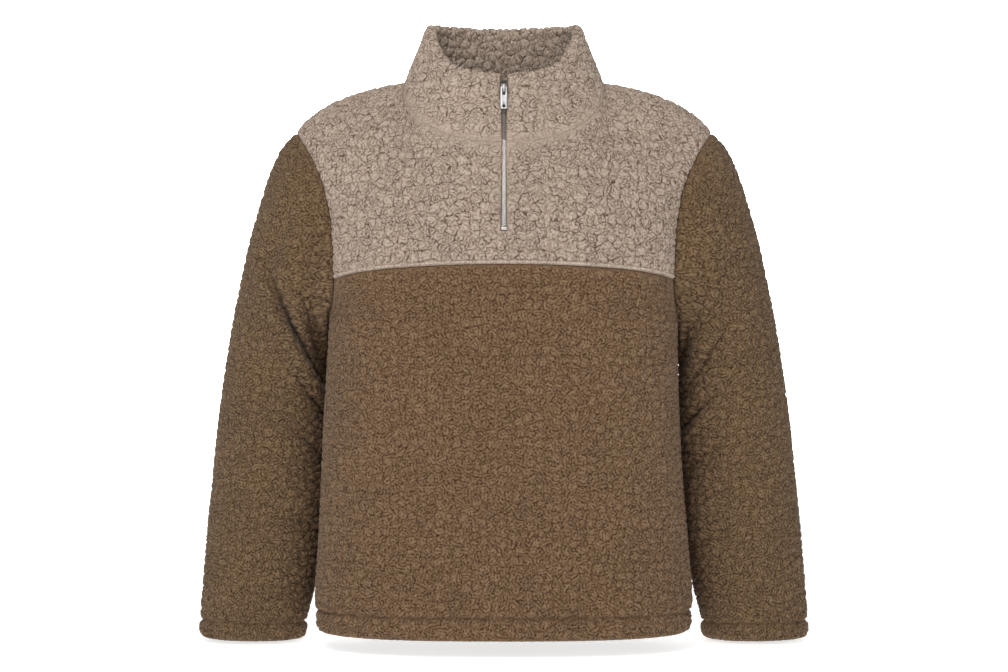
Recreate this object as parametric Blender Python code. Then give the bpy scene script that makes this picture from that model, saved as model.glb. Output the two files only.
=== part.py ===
"""A curly fleece pullover with a light yoke, a stand collar and a quarter zip.

It keeps the hollow form of a worn garment. The front faces -Y and +Z is up. The origin is the
middle of the neck, level with the highest points of the shoulders. Sizes are in millimetres
and become metres where a mesh is made.
"""

import math

import bmesh
import bpy
import numpy as np
from mathutils import Matrix, Vector

METRES = 0.001
SEAM_GAP = 0.3
CLOTH = 5.0
COLLAR_WALL = 10.0
HEM_WALL = 8.0
SHARP_ANGLE = math.radians(50)

# Heights
HEM = -663.0
ARMPIT = -290.0
YOKE_SEAM_SIDE = -241.0
YOKE_SEAM_MIDDLE = -225.0
YOKE_SEAM_CURVE = 1.6
NECK_FRONT = -82.0
NECK_BACK = -8.0
NECK_CROWN = 8.0

# Across and through the body
NECK_HALF_WIDTH = 121.0
SHOULDER_HALF_WIDTH = 252.0
SHOULDER_Y = 15.0
ARMHOLE_REACH = 52.0
SECTION_POWER = 2.6
NECK_SHARE = 0.45
SLIT_HALF_WIDTH = 4.5
SLIT_RIM_HALF = 4.1

HEM_DEPTH = 30.0
CUFF_DEPTH = 24.0
ARMHOLE_FADE = 120.0
RING_TURN_LENGTH = 180.0
SLEEVE_POWER = 2.15
SLEEVE_RADIUS = 62.0
FOLDS_START = 30.0
FOLD_END_SHARE = 0.35
BODY_FOLDS_MARGIN = 0.12
SHOULDER_LEAN = (1.5, 1.3)
NECK_DIP_POWERS = (0.8, 1.0)

# The raised edge above the yoke seam
EDGE_RISE = 1.2
EDGE_WIDTH = 3.0
EDGE_THICK = 1.2
EDGE_END_GAP = 5.0

# The zip, in depths below the cloth's outer face
TAPE_DEPTHS = (CLOTH + SEAM_GAP, CLOTH + SEAM_GAP + 0.9)
TAPE_WIDTH = 14.0
TAPE_IN_COLLAR = 3.2
TAPE_STEP = 3.0
TAPE_STEP_RUN = 0.5
PATH_SPACE = 0.5
TEETH_DEPTHS = (2.0, 5.0)
TEETH_HALF_WIDTH = 2.8
TEETH_TOP_GAP = 7.5
STOP_FOOT = 1.0
STOP_LENGTH = 4.0
STOP_HALF_WIDTH = 3.4
STOP_DEPTHS = (1.2, 5.0)

# The slider and its tab, in heights above the cloth's outer face
SLIDER_BELOW_TOP = 13.5
SLIDER_LENGTH = 13.0
SLIDER_STEM = 2.4
SLIDER_HALF_WIDTH = 4.2
PLATE_BACK = 0.5
PLATE_FRONT = 2.3
PLATE_EDGE = 0.6
BRIDGE_OUT = 6.4
BRIDGE_IN = 5.1
BRIDGE_FOOT = -5.2
BRIDGE_TOP = 4.6
BRIDGE_HALF_WIDTH = 1.2
BRIDGE_WALL = 1.6
BRIDGE_SINK = 0.5
BRIDGE_CORNERS = (0.9, 0.5)
AXIS_OUT = 3.7
AXIS_UP = 1.2
TAB_HALF_WIDTH = 4.0
TAB_HALF_THICK = 0.6
TAB_LENGTH = 27.0
TAB_BAR_HALF = 0.9
TAB_SLOT_HALF = 1.75
TAB_SLOT_LENGTH = 9.5
TAB_HOLE_BELOW = 23.4
TAB_HOLE_RADIUS = 1.9
TAB_CORNERS = (1.4, 0.8)

COLOURS = {
    "light_fleece": (0.42, 0.33, 0.27, 1.0),
    "brown_fleece": (0.17, 0.115, 0.075, 1.0),
    "light_edge": (0.55, 0.46, 0.39, 1.0),
    "zip_tape": (0.30, 0.27, 0.25, 1.0),
    "silver": (0.75, 0.75, 0.76, 1.0),
}
METALS = {"silver"}


class Sections:
    """A short table with named columns, read smoothly between its rows along its first column."""

    def __init__(self, columns, *rows):
        self.columns = columns.split()
        self.rows = np.array(rows, float)

    def at(self, name, where):
        """The named column at each value of the first column in 'where'."""
        knots = self.rows[:, 0]
        values = self.rows[:, self.columns.index(name)]
        slopes = np.gradient(values, knots)
        where = np.clip(where, knots[0], knots[-1])
        low = np.clip(np.searchsorted(knots, where, side="right") - 1, 0, len(knots) - 2)
        span = knots[low + 1] - knots[low]
        part = (where - knots[low]) / span
        rest = 1 - part
        start = (1 + 2 * part) * rest**2 * values[low] + part * rest**2 * span * slopes[low]
        end = part**2 * (3 - 2 * part) * values[low + 1] - part**2 * rest * span * slopes[low + 1]
        return start + end


TORSO = Sections(
    "height right_half left_half front_depth back_depth",
    (-663, 221, 220, 111, 105),
    (-627, 226, 225, 113, 107),
    (-562, 223, 221, 114, 108),
    (-480, 219, 214, 117, 109),
    (-410, 216, 210, 120, 112),
    (-345, 212, 208, 124, 117),
    (-290, 209.5, 208, 126, 121),
    (-225, 211.5, 211.5, 125, 122),
)

SHOULDER = Sections(
    "out height",
    (121, 0),
    (155, -7.5),
    (190, -18),
    (212, -28),
    (232, -41),
    (246, -54),
    (252, -62),
)

ARCH = Sections("share front_power back_power", (0, 1.9, 2.7), (0.45, 1.75, 2.1), (1, 2.2, 2.2))

SLEEVE = Sections(
    "along outer_x outer_z inner_x inner_z middle_y half_depth",
    (0, 252, -62, 208, -290, 12, 60),
    (20, 266, -76, 211, -301, 14, 64),
    (50, 280, -101, 213, -313, 18, 67),
    (80, 291, -131, 214, -326, 22, 67),
    (112, 301, -163, 215, -339, 26, 66),
    (140, 309, -190, 215.5, -351, 29, 65),
    (184, 319, -232, 216, -370, 34, 64),
    (230, 329, -278, 216.5, -392, 38, 62),
    (312, 343, -360, 217.5, -438, 42, 60),
    (373, 351, -420, 219, -480, 44, 58),
    (439, 357.5, -485, 221, -528, 45, 56),
    (499, 363.5, -545, 226.5, -574, 45, 53),
    (562, 368.5, -608, 236, -621, 44, 49),
    (604, 371.5, -650, 245, -656, 43, 46),
    (632, 370, -678, 249.5, -680, 43, 44),
)

COLLAR_RIM = Sections(
    "angle height",
    (0, 1),
    (25, 6),
    (45, 18),
    (62, 42),
    (78, 62),
    (95, 69),
    (130, 72),
    (180, 71),
)
RIM_HALF_WIDTH = 92.0
RIM_FRONT_Y = -70.0
RIM_SIDE_Y = 2.0
RIM_BACK_Y = 62.0
COLLAR_HOLLOW = 1.5
COLLAR_MIDDLE_Y = -5.0

# Folds of the sleeves: where each starts and ends along the sleeve and round it (0 outside,
# 90 front, 180 inside, 270 back), how wide it is, and how far it lifts the cloth.
FOLD_COLUMNS = "side along_a angle_a along_b angle_b width lift".split()
SLEEVE_FOLDS = (
    (-1, 138, 62, 184, 160, 11, -8.0),
    (-1, 168, 70, 214, 150, 14, 4.0),
    (-1, 235, 110, 262, 175, 13, -4.0),
    (-1, 60, 150, 120, 168, 13, -4.5),
    (-1, 330, 120, 365, 185, 15, -3.5),
    (-1, 450, 100, 480, 170, 16, -3.0),
    (-1, 150, 300, 190, 205, 13, -6.0),
    (-1, 265, 285, 300, 200, 14, -5.0),
    (-1, 290, 255, 320, 200, 15, 3.0),
    (1, 55, 148, 132, 166, 12, -6.0),
    (1, 268, 122, 288, 172, 11, -5.0),
    (1, 180, 95, 215, 165, 14, -4.0),
    (1, 205, 90, 240, 150, 15, 3.0),
    (1, 350, 110, 385, 180, 15, -3.5),
    (1, 470, 95, 500, 165, 16, -3.0),
    (1, 160, 295, 200, 205, 13, -6.0),
    (1, 285, 290, 315, 200, 14, -5.0),
    (1, 310, 260, 340, 205, 15, 3.0),
)

# Soft hollows and rises of the body: side of the body, place across and up, size and lift.
BODY_FOLD_COLUMNS = "face x_a z_a x_b z_b width lift".split()
BODY_FOLDS = (
    (-1, 168, -392, 150, -430, 22, -3.5),
    (-1, -196, -330, -140, -365, 16, -3.5),
    (-1, 198, -318, 150, -345, 16, -3.0),
    (-1, -205, -560, -170, -480, 20, -3.0),
    (-1, 95, -650, 110, -560, 24, -2.5),
    (-1, -60, -655, -75, -570, 24, -2.5),
    (-1, -182, -205, -150, -165, 15, -3.0),
    (-1, 182, -205, 150, -165, 15, -3.0),
    (1, -190, -330, -120, -380, 18, -4.5),
    (1, 190, -330, 120, -390, 18, -4.5),
    (1, -60, -470, 70, -490, 20, -3.5),
    (1, 0, -650, 20, -570, 22, -3.0),
)


def ramp(value, start, end):
    """0 before start and 1 after end, easing between them."""
    part = np.clip((value - start) / (end - start), 0, 1)
    return part * part * (3 - 2 * part)


def line_bump(p, q, start, end, width):
    """How near (p, q) is to the line from start to end: 1 on it, fading over 'width'."""
    along = (end[0] - start[0], end[1] - start[1])
    length = math.hypot(*along)
    share = ((p - start[0]) * along[0] + (q - start[1]) * along[1]) / length**2
    share = np.clip(share, 0, 1)
    gap = np.hypot(p - start[0] - share * along[0], q - start[1] - share * along[1])
    taper = FOLD_END_SHARE + (1 - FOLD_END_SHARE) * np.sin(math.pi * np.clip(share, 0.05, 0.95))
    return taper * np.exp(-((gap / width) ** 2))


def torso(face, across, up):
    """Points of the outer surface of the body, as a grid of 'up' rows and 'across' columns.

    face is -1 for the front and 1 for the back. across runs from -1, the side at -X, to 1.
    up is 0 at the hem, 1 at the armpit, 2 at the yoke seam and 3 at the shoulder and neck.
    """
    u, r = np.broadcast_arrays(np.asarray(across, float)[None, :], np.asarray(up, float)[:, None])
    out = np.abs(u)
    turn = np.clip(r - 1, 0, 1)
    side_z = np.where(r < 1, HEM + (ARMPIT - HEM) * r, ARMPIT)
    middle_z = side_z + (YOKE_SEAM_MIDDLE - ARMPIT) * turn
    side_z = side_z + (YOKE_SEAM_SIDE - ARMPIT) * (1 - np.cos(turn * math.pi / 2))
    z = middle_z + (side_z - middle_z) * out**YOKE_SEAM_CURVE

    half = np.where(u < 0, TORSO.at("right_half", z), TORSO.at("left_half", z))
    depth = TORSO.at("front_depth" if face < 0 else "back_depth", z)
    first = np.arcsin((ARMHOLE_REACH * np.sin(turn * math.pi / 2) / depth) ** (SECTION_POWER / 2))
    share = np.clip(out / NECK_SHARE, 0, 1)
    round_neck = share * math.pi / 2
    angle = first + (math.pi / 2 - first) * (1 - np.maximum(out, NECK_SHARE))
    x = half * np.cos(angle) ** (2 / SECTION_POWER)
    x = x * share * (1 + (math.pi / 2 - 1) * (1 - share) ** 2)
    y = face * depth * (1 - (x / half) ** SECTION_POWER) ** (1 / SECTION_POWER)
    x = np.sign(u) * x

    # The yoke: each column arches from the yoke seam to the shoulder line or the neck seam.
    along_shoulder = np.clip((out - NECK_SHARE) / (1 - NECK_SHARE), 0, 1)
    shoulder_x = NECK_HALF_WIDTH + (SHOULDER_HALF_WIDTH - NECK_HALF_WIDTH) * along_shoulder
    top_x = np.where(out < NECK_SHARE, NECK_HALF_WIDTH * np.sin(round_neck), shoulder_x)
    ridge_z = SHOULDER.at("height", shoulder_x) + NECK_CROWN * np.cos(round_neck) ** 2
    dip = NECK_FRONT if face < 0 else NECK_BACK
    neck_z = dip * np.clip(np.cos(round_neck), 0, 1) ** NECK_DIP_POWERS[0 if face < 0 else 1]
    cut = np.where(out < NECK_SHARE, (neck_z - z) / (ridge_z - z), 1.0)
    power = ARCH.at("front_power" if face < 0 else "back_power", out)
    last = np.arcsin(np.clip(cut, 0, 1) ** (power / 2))
    arch = np.clip(r - 2, 0, 1) * last
    rise = np.sin(arch) ** (2 / power)
    back = np.clip(np.cos(arch), 0, 1) ** (2 / power)
    lean = SHOULDER_LEAN[0] + SHOULDER_LEAN[1] * out
    x = x + (np.sign(u) * top_x - x) * (rise / cut) ** lean
    y = SHOULDER_Y + (y - SHOULDER_Y) * back
    z = z + (ridge_z - z) * rise

    lift = np.zeros_like(x)
    for row in BODY_FOLDS:
        fold = dict(zip(BODY_FOLD_COLUMNS, row))
        if fold["face"] == face:
            ends = (fold["x_a"], fold["z_a"]), (fold["x_b"], fold["z_b"])
            lift += fold["lift"] * line_bump(x, z, *ends, fold["width"])
    lift *= ramp(1 - out, 0, BODY_FOLDS_MARGIN)
    y = y + face * lift
    return np.stack([x, y, z], axis=-1)


def armhole(side, up_rows):
    """The armhole seam from the shoulder point down the front and up the back, without its last
    point, which is the first again. up_rows are the body's rows from the armpit up."""
    front = torso(-1, [side], up_rows)[:, 0]
    back = torso(1, [side], up_rows)[:, 0]
    return np.concatenate([front[::-1], back[1:-1]])


def sleeve(side, seam, along):
    """Points of a sleeve's outer surface, a ring for each value of 'along' from the seam down."""
    count = len(seam)
    along = np.asarray(along, float)[:, None]
    outer = np.stack([side * SLEEVE.at("outer_x", along), SLEEVE.at("outer_z", along)], -1)
    inner = np.stack([side * SLEEVE.at("inner_x", along), SLEEVE.at("inner_z", along)], -1)
    middle, arm = (outer + inner) / 2, (outer - inner) / 2
    middle_y, half_depth = SLEEVE.at("middle_y", along), SLEEVE.at("half_depth", along)

    # The first ring is the seam itself. Lower rings turn to even steps round the sleeve.
    first_arm, first_middle = arm[0, 0], middle[0, 0]
    reach = (seam[:, ::2] - first_middle) @ first_arm / (first_arm @ first_arm)
    start = np.arctan2(-(seam[:, 1] - middle_y[0, 0]) / half_depth[0, 0], reach) % (2 * math.pi)
    start[0] = 0
    even = np.arange(count) * 2 * math.pi / count
    turn = start + (even - start) * ramp(along, 0, RING_TURN_LENGTH)
    power = 2 / SLEEVE_POWER
    reach = np.sign(np.cos(turn)) * np.abs(np.cos(turn)) ** power
    forward = np.sign(np.sin(turn)) * np.abs(np.sin(turn)) ** power
    flat = middle + arm * reach[..., None]
    points = np.stack([flat[..., 0], middle_y - half_depth * forward, flat[..., 1]], -1)
    points += (seam - points[0]) * (np.clip(1 - along / ARMHOLE_FADE, 0, 1) ** 2)[..., None]

    lift = np.zeros(points.shape[:2])
    for row in SLEEVE_FOLDS:
        fold = dict(zip(FOLD_COLUMNS, row))
        if fold["side"] == side:
            ends = [
                (fold["along_" + end], math.radians(fold["angle_" + end]) * SLEEVE_RADIUS)
                for end in "ab"
            ]
            lift += fold["lift"] * line_bump(along, turn * SLEEVE_RADIUS, *ends, fold["width"])
    lift *= ramp(along, 0, FOLDS_START)
    centre = np.stack([middle[..., 0], middle_y, middle[..., 1]], -1)
    outward = points - centre
    outward /= np.linalg.norm(outward, axis=-1, keepdims=True)
    return points + outward * lift[..., None]


def collar(base, angle, up):
    """Points of the collar's outer surface. base is the neck seam and angle, in degrees, runs
    from 0 at the front to 180 at the back on each side. up is 0 at the seam and 1 at the rim."""
    around = np.radians(angle)
    rim_y = np.where(
        angle < 90,
        RIM_SIDE_Y + (RIM_FRONT_Y - RIM_SIDE_Y) * np.cos(around),
        RIM_SIDE_Y - (RIM_BACK_Y - RIM_SIDE_Y) * np.cos(around),
    )
    rim = np.stack(
        [
            np.sign(base[:, 0]) * np.maximum(RIM_HALF_WIDTH * np.sin(around), SLIT_RIM_HALF),
            rim_y,
            COLLAR_RIM.at("height", angle),
        ],
        -1,
    )
    up = np.asarray(up, float)[:, None, None]
    points = base + (rim - base) * up
    outward = (base + rim) / 2 - np.array([0, COLLAR_MIDDLE_Y, 0])
    outward[:, 2] = 0
    outward /= np.linalg.norm(outward, axis=-1, keepdims=True)
    return points - outward * COLLAR_HOLLOW * np.sin(math.pi * up) * (1 - 0.5 * up)


def quads_of(rows, columns, wraps=False, keep=None):
    """The faces of a grid, in rows and then columns. keep(row, column) may leave some out."""
    faces = []
    for i in range(rows - 1):
        for j in range(columns if wraps else columns - 1):
            k = (j + 1) % columns
            if keep is None or keep(i, j):
                low, high = i * columns, (i + 1) * columns
                faces.append((low + j, low + k, high + k, high + j))
    return np.array(faces)


def corner_normals(points, faces):
    """The sum of the face normals round each point, as unit vectors."""
    a, b, c, d = (points[faces[:, n]] for n in range(4))
    normal = np.cross(c - a, d - b)
    total = np.zeros_like(points)
    for n in range(4):
        np.add.at(total, faces[:, n], normal)
    return total


def shared_normals(panels):
    """Each panel's normals, the same on both sides of a seam, where the points coincide."""
    points = np.concatenate([panel["points"] for panel in panels])
    total = np.concatenate([corner_normals(panel["points"], panel["faces"]) for panel in panels])
    _, same = np.unique(np.round(points, 3), axis=0, return_inverse=True)
    same = same.reshape(-1)
    joined = np.zeros((same.max() + 1, 3))
    np.add.at(joined, same, total)
    joined /= np.maximum(np.linalg.norm(joined, axis=1, keepdims=True), 1e-9)
    return np.split(joined[same], np.cumsum([len(panel["points"]) for panel in panels])[:-1])


def open_edges(faces):
    """The edges that only one face has, each with that face."""
    seen = {}
    for face in faces:
        for a, b in zip(face, np.roll(face, -1)):
            seen[(a, b)] = face
    return [(a, b, face) for (a, b), face in seen.items() if (b, a) not in seen]


def draw_back(points, faces, gap):
    """Moves the edge of a panel into the panel by 'gap', square to each edge."""
    push = {}
    for a, b, face in open_edges(faces):
        way = points[b] - points[a]
        way /= np.linalg.norm(way)
        inward = points[face].mean(axis=0) - (points[a] + points[b]) / 2
        inward -= way * (inward @ way)
        inward /= np.linalg.norm(inward)
        for end in (a, b):
            push.setdefault(end, []).append(inward)
    moved = points.copy()
    for point, inwards in push.items():
        both = np.sum(inwards, axis=0)
        if len(inwards) == 2:
            both /= max(1 + inwards[0] @ inwards[1], 0.5)
        moved[point] += both * gap
    return moved


def material(name):
    found = bpy.data.materials.get(name)
    if found:
        return found
    made = bpy.data.materials.new(name)
    made.use_nodes = True
    shader = made.node_tree.nodes["Principled BSDF"]
    shader.inputs["Base Color"].default_value = COLOURS[name]
    shader.inputs["Metallic"].default_value = 1.0 if name in METALS else 0.0
    shader.inputs["Roughness"].default_value = 0.35 if name in METALS else 0.95
    made.diffuse_color = COLOURS[name]
    return made


def add_mesh(name, points, faces, colour, collection):
    mesh = bpy.data.meshes.new(name)
    mesh.from_pydata([tuple(p) for p in points * METRES], [], [tuple(f) for f in faces])
    mesh.update()
    mesh.materials.append(material(colour))
    made = bpy.data.objects.new(name, mesh)
    collection.objects.link(made)
    return made


def rim_faces(points, a, b, count):
    """The wall's edge between points a and b, as two triangles, split the same way on both sides
    of a seam so that the two stay parallel."""
    way = points[b] - points[a]
    if way[np.argmax(np.abs(way))] > 0:
        return [(b, a, b + count), (a, a + count, b + count)]
    return [(b, a, a + count), (b, a + count, b + count)]


def add_wall(name, outer, inner, faces, colour, collection):
    """A closed wall between an outer and an inner layer of points."""
    count = len(outer)
    shell = [tuple(face) for face in faces]
    lining = [tuple(face[::-1] + count) for face in faces]
    points = np.concatenate([outer, inner])
    rim = [face for a, b, _ in open_edges(faces) for face in rim_faces(points, a, b, count)]
    used = np.unique(np.concatenate([np.array(shell).ravel(), np.array(lining).ravel()]))
    place = np.full(len(points), -1)
    place[used] = np.arange(len(used))
    faces = [tuple(place[list(face)]) for face in shell + lining + rim]
    made = add_mesh(name, points[used], faces, colour, collection)
    made.data.shade_smooth()
    made.data.set_sharp_from_angle(angle=SHARP_ANGLE)
    return made


SHOULDER_STEPS = 6
NECK_STEPS = 6
HEM_ROWS = np.array([0, 12, HEM_DEPTH - 6, HEM_DEPTH, HEM_DEPTH + 7])
BODY_ROWS = np.linspace(0.17, 1, 12)
ARMPIT_ROWS = np.array([4 / 3, 5 / 3, 2])
SLIT_FOOT_ROW = 2.265
YOKE_ROWS = np.concatenate([[2, 2.13], np.linspace(SLIT_FOOT_ROW, 3, 7)])
SLEEVE_ROWS = np.concatenate([[0, 12], np.linspace(28, 594, 20), [606, 610, 617, 632]])
COLLAR_ROWS = np.array([0, 0.14, 0.35, 0.57, 0.78, 0.93, 1.0])
RIM_TURN_IN = ((5, 1.2), (6, 3.6))


def body_rows():
    """The rows of a body panel, hem to yoke seam, closer together at the turned hem."""
    return np.concatenate([HEM_ROWS / (ARMPIT - HEM), BODY_ROWS, ARMPIT_ROWS])


def columns():
    """Places across a panel: even round the neck and along the shoulders, with one at each side
    of the slit."""
    slit = math.asin(SLIT_HALF_WIDTH / NECK_HALF_WIDTH) / (math.pi / 2) * NECK_SHARE
    neck = np.linspace(0, NECK_SHARE, NECK_STEPS + 1)[1:]
    shoulder = np.linspace(NECK_SHARE, 1, SHOULDER_STEPS + 1)[1:]
    half = np.concatenate([[slit], neck, shoulder])
    return np.concatenate([-half[::-1], half])


def cloth_panels():
    """The cloth panels by name: a grid of points, faces, wall thickness and shared normals."""
    across = columns()
    rows = body_rows()
    middle = len(across) // 2 - 1
    panels = {}

    def add(name, grid, colour, walls, wraps=False, keep=None):
        grid_rows, grid_columns = grid.shape[:2]
        panels[name] = {
            "grid": grid.shape[:2],
            "points": grid.reshape(-1, 3).copy(),
            "faces": quads_of(grid_rows, grid_columns, wraps, keep),
            "colour": colour,
            "walls": np.repeat(walls, grid_columns),
        }

    slit_from = int(np.argmax(YOKE_ROWS >= SLIT_FOOT_ROW))
    hem_walls = np.where(rows * (ARMPIT - HEM) < HEM_DEPTH - 1, HEM_WALL, CLOTH)
    yoke_walls = np.full(len(YOKE_ROWS), CLOTH)
    add("front_body", torso(-1, across, rows), "brown_fleece", hem_walls)
    add("back_body", torso(1, across, rows)[:, ::-1], "brown_fleece", hem_walls)
    add(
        "front_yoke",
        torso(-1, across, YOKE_ROWS),
        "light_fleece",
        yoke_walls,
        keep=lambda i, j: i < slit_from or j != middle,
    )
    add("back_yoke", torso(1, across, YOKE_ROWS)[:, ::-1], "light_fleece", yoke_walls)

    seam_rows = np.concatenate([rows[rows >= 1][:-1], YOKE_ROWS])
    cuff_walls = np.where(SLEEVE_ROWS >= SLEEVE.rows[-1, 0] - CUFF_DEPTH, HEM_WALL, CLOTH)
    for side, name in ((-1, "sleeve_right"), (1, "sleeve_left")):
        grid = sleeve(side, armhole(side, seam_rows), SLEEVE_ROWS)
        add(name, grid[:, ::side], "brown_fleece", cuff_walls, wraps=True)

    neck = across[np.abs(across) <= NECK_SHARE + 1e-9]
    front_neck = torso(-1, neck, [3])[0]
    back_neck = torso(1, neck[1:-1], [3])[0]
    half = len(neck) // 2
    turn = np.abs(neck) / NECK_SHARE * 90
    base = np.concatenate([front_neck[half:], back_neck[::-1], front_neck[:half]])
    angle = np.concatenate([turn[half:], 180 - turn[1:-1][::-1], turn[:half]])
    collar_walls = np.where(COLLAR_ROWS > 0, COLLAR_WALL, CLOTH)
    add("collar", collar(base, angle, COLLAR_ROWS), "light_fleece", collar_walls)

    for panel, normals in zip(panels.values(), shared_normals(list(panels.values()))):
        panel["normals"] = normals
    return panels


def add_cloth(panels, collection):
    """Every panel as a closed wall, drawn back from its seams."""
    for name, panel in panels.items():
        normals = panel["normals"]
        outer = panel["points"].copy()
        inner = outer - normals * panel["walls"][:, None]
        if name == "collar":
            count = panel["grid"][1]
            for row, turn_in in RIM_TURN_IN:
                rim = slice(row * count, (row + 1) * count)
                outer[rim] -= normals[rim] * turn_in
                inner[rim] += normals[rim] * turn_in
        outer = draw_back(outer, panel["faces"], SEAM_GAP / 2)
        inner = draw_back(inner, panel["faces"], SEAM_GAP / 2)
        add_wall(name, outer, inner, panel["faces"], panel["colour"], collection)


def add_yoke_edge(name, yoke, collection):
    """The raised edge just above the yoke seam, made from the yoke's lowest row, moved out."""
    rows, count = yoke["grid"]
    points = yoke["points"].reshape(rows, count, 3)[:2]
    normals = yoke["normals"].reshape(rows, count, 3)[0].copy()
    low = points[0].copy()
    up = points[1] - points[0]
    up /= np.linalg.norm(up, axis=1, keepdims=True)
    for end, neighbour in ((0, 1), (-1, -2)):
        way = low[neighbour] - low[end]
        share = EDGE_END_GAP / np.linalg.norm(way)
        low[end] += way * share
        normals[end] += (normals[neighbour] - normals[end]) * share
    grid = np.concatenate([low + up * EDGE_RISE, low + up * (EDGE_RISE + EDGE_WIDTH)])
    out = np.concatenate([normals, normals])
    outer = grid + out * (SEAM_GAP + EDGE_THICK)
    inner = grid + out * SEAM_GAP
    add_wall(name, outer, inner, quads_of(2, count), "light_edge", collection)


def zip_path(panels):
    """The middle of the front from the slit's foot to the rim, with the way out at each point.
    Its points lie on the panels' own rows."""
    yoke = torso(-1, [0], YOKE_ROWS[YOKE_ROWS >= SLIT_FOOT_ROW])[:, 0]
    rise = collar(yoke[-1:], np.array([0.0]), COLLAR_ROWS[1:-1])[:, 0]
    path = np.concatenate([yoke, rise])
    yoke_out = panels["front_yoke"]["normals"].reshape(*panels["front_yoke"]["grid"], 3)
    collar_out = panels["collar"]["normals"].reshape(*panels["collar"]["grid"], 3)
    middle = yoke_out.shape[1] // 2
    out = np.concatenate([yoke_out[-len(yoke):, middle], collar_out[1:-1, 0]])
    out[:, 0] = 0
    out /= np.linalg.norm(out, axis=1, keepdims=True)
    return path, out


def add_bar(name, edges, outs, depths, colour, collection):
    """A flat bar between two paths, its left and right edges, with the way out at each point.
    depths are those of its front and back below the cloth's outer face."""
    (left, right), (left_out, right_out) = edges, outs
    near, far = depths
    corners = [
        left - left_out * near,
        right - right_out * near,
        right - right_out * far,
        left - left_out * far,
    ]
    points = np.stack(corners, axis=1).reshape(-1, 3)
    faces = [tuple(face) for face in quads_of(len(left), 4, wraps=True)]
    top = 4 * (len(left) - 1)
    faces += [(3, 2, 1, 0), (top, top + 1, top + 2, top + 3)]
    return add_mesh(name, points, faces, colour, collection)


def add_middle_bar(name, path, out, half_width, depths, collection):
    """A bar of even width along the middle of the front."""
    reach = np.array([half_width, 0, 0])
    return add_bar(name, (path - reach, path + reach), (out, out), depths, "silver", collection)


def stretch(run, start, end):
    """Places along a path from start to end, with those of its own points that lie between."""
    inside = run[(run > start + PATH_SPACE) & (run < end - PATH_SPACE)]
    return np.concatenate([[start], inside, [end]])


def read(values, run, at):
    """Points or directions of a path at other places along it."""
    return np.stack([np.interp(at, run, values[:, n]) for n in range(3)], -1)


def add_tape(name, side, panels, path, out, run, neck, collection):
    """One half of the zip tape: wide behind the yoke, and only as wide as the slit between the
    collar's edges. Its outer edge is made from the yoke's points beside the slit, moved in."""
    yoke = panels["front_yoke"]
    rows = slice(-int(np.sum(YOKE_ROWS >= SLIT_FOOT_ROW)), None)
    grid = yoke["points"].reshape(*yoke["grid"], 3)[rows]
    outs = yoke["normals"].reshape(*yoke["grid"], 3)[rows]
    near = grid.shape[1] // 2 + (0 if side > 0 else -1)
    beside, next_out = grid[:, near], grid[:, near + side]
    share = (TAPE_WIDTH - SLIT_HALF_WIDTH) / np.abs(next_out[:, :1] - beside[:, :1])
    edge = beside + (next_out - beside) * share
    edge_out = outs[:, near] + (outs[:, near + side] - outs[:, near]) * share

    wide = stretch(run, SEAM_GAP, neck - TAPE_STEP)
    narrow = stretch(run, neck - TAPE_STEP + TAPE_STEP_RUN, run[-1])
    at = np.concatenate([wide, narrow])
    middle, middle_out = read(path, run, at), read(out, run, at)
    reach = np.array([side * TAPE_IN_COLLAR, 0, 0])
    beyond = np.concatenate([read(edge, run[: len(edge)], wide), middle[len(wide):] + reach])
    beyond_out = np.concatenate([read(edge_out, run[: len(edge)], wide), middle_out[len(wide):]])
    middle = middle + np.array([side * SEAM_GAP / 2, 0, 0])
    edges, ways = (middle, beyond), (middle_out, beyond_out)
    add_bar(name, edges[::side], ways[::side], TAPE_DEPTHS, "zip_tape", collection)


def add_outline(name, loops, half_thick, colour, collection):
    """A flat outline in its own XY plane, with holes, as a closed mesh of even thickness."""
    curve = bpy.data.curves.new(name, "CURVE")
    curve.dimensions = "2D"
    curve.fill_mode = "BOTH"
    curve.extrude = half_thick * METRES
    for loop in loops:
        spline = curve.splines.new("POLY")
        spline.points.add(len(loop) - 1)
        for point, (x, y) in zip(spline.points, loop):
            point.co = (x * METRES, y * METRES, 0, 1)
        spline.use_cyclic_u = True
    source = bpy.data.objects.new(name + "_outline", curve)
    collection.objects.link(source)
    graph = bpy.context.evaluated_depsgraph_get()
    mesh = bpy.data.meshes.new_from_object(source.evaluated_get(graph))
    bpy.data.objects.remove(source)
    form = bmesh.new()
    form.from_mesh(mesh)
    bmesh.ops.remove_doubles(form, verts=form.verts, dist=1e-6)
    form.to_mesh(mesh)
    form.free()
    mesh.materials.clear()
    mesh.materials.append(material(colour))
    made = bpy.data.objects.new(name, mesh)
    collection.objects.link(made)
    return made


def rounded_box(x_low, x_high, y_low, y_high, radius, steps=3):
    """The outline of a box with round corners."""
    points = []
    corners = ((x_high, y_high, 0), (x_low, y_high, 90), (x_low, y_low, 180), (x_high, y_low, 270))
    for x, y, start in corners:
        middle_x = x - math.copysign(radius, x - (x_low + x_high) / 2)
        middle_y = y - math.copysign(radius, y - (y_low + y_high) / 2)
        for n in range(steps + 1):
            turn = math.radians(start + 90 * n / steps)
            points.append((middle_x + radius * math.cos(turn), middle_y + radius * math.sin(turn)))
    return points


def circle(y, radius, steps=14):
    turns = [2 * math.pi * n / steps for n in range(steps)]
    return [(radius * math.cos(turn), y + radius * math.sin(turn)) for turn in turns]


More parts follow.
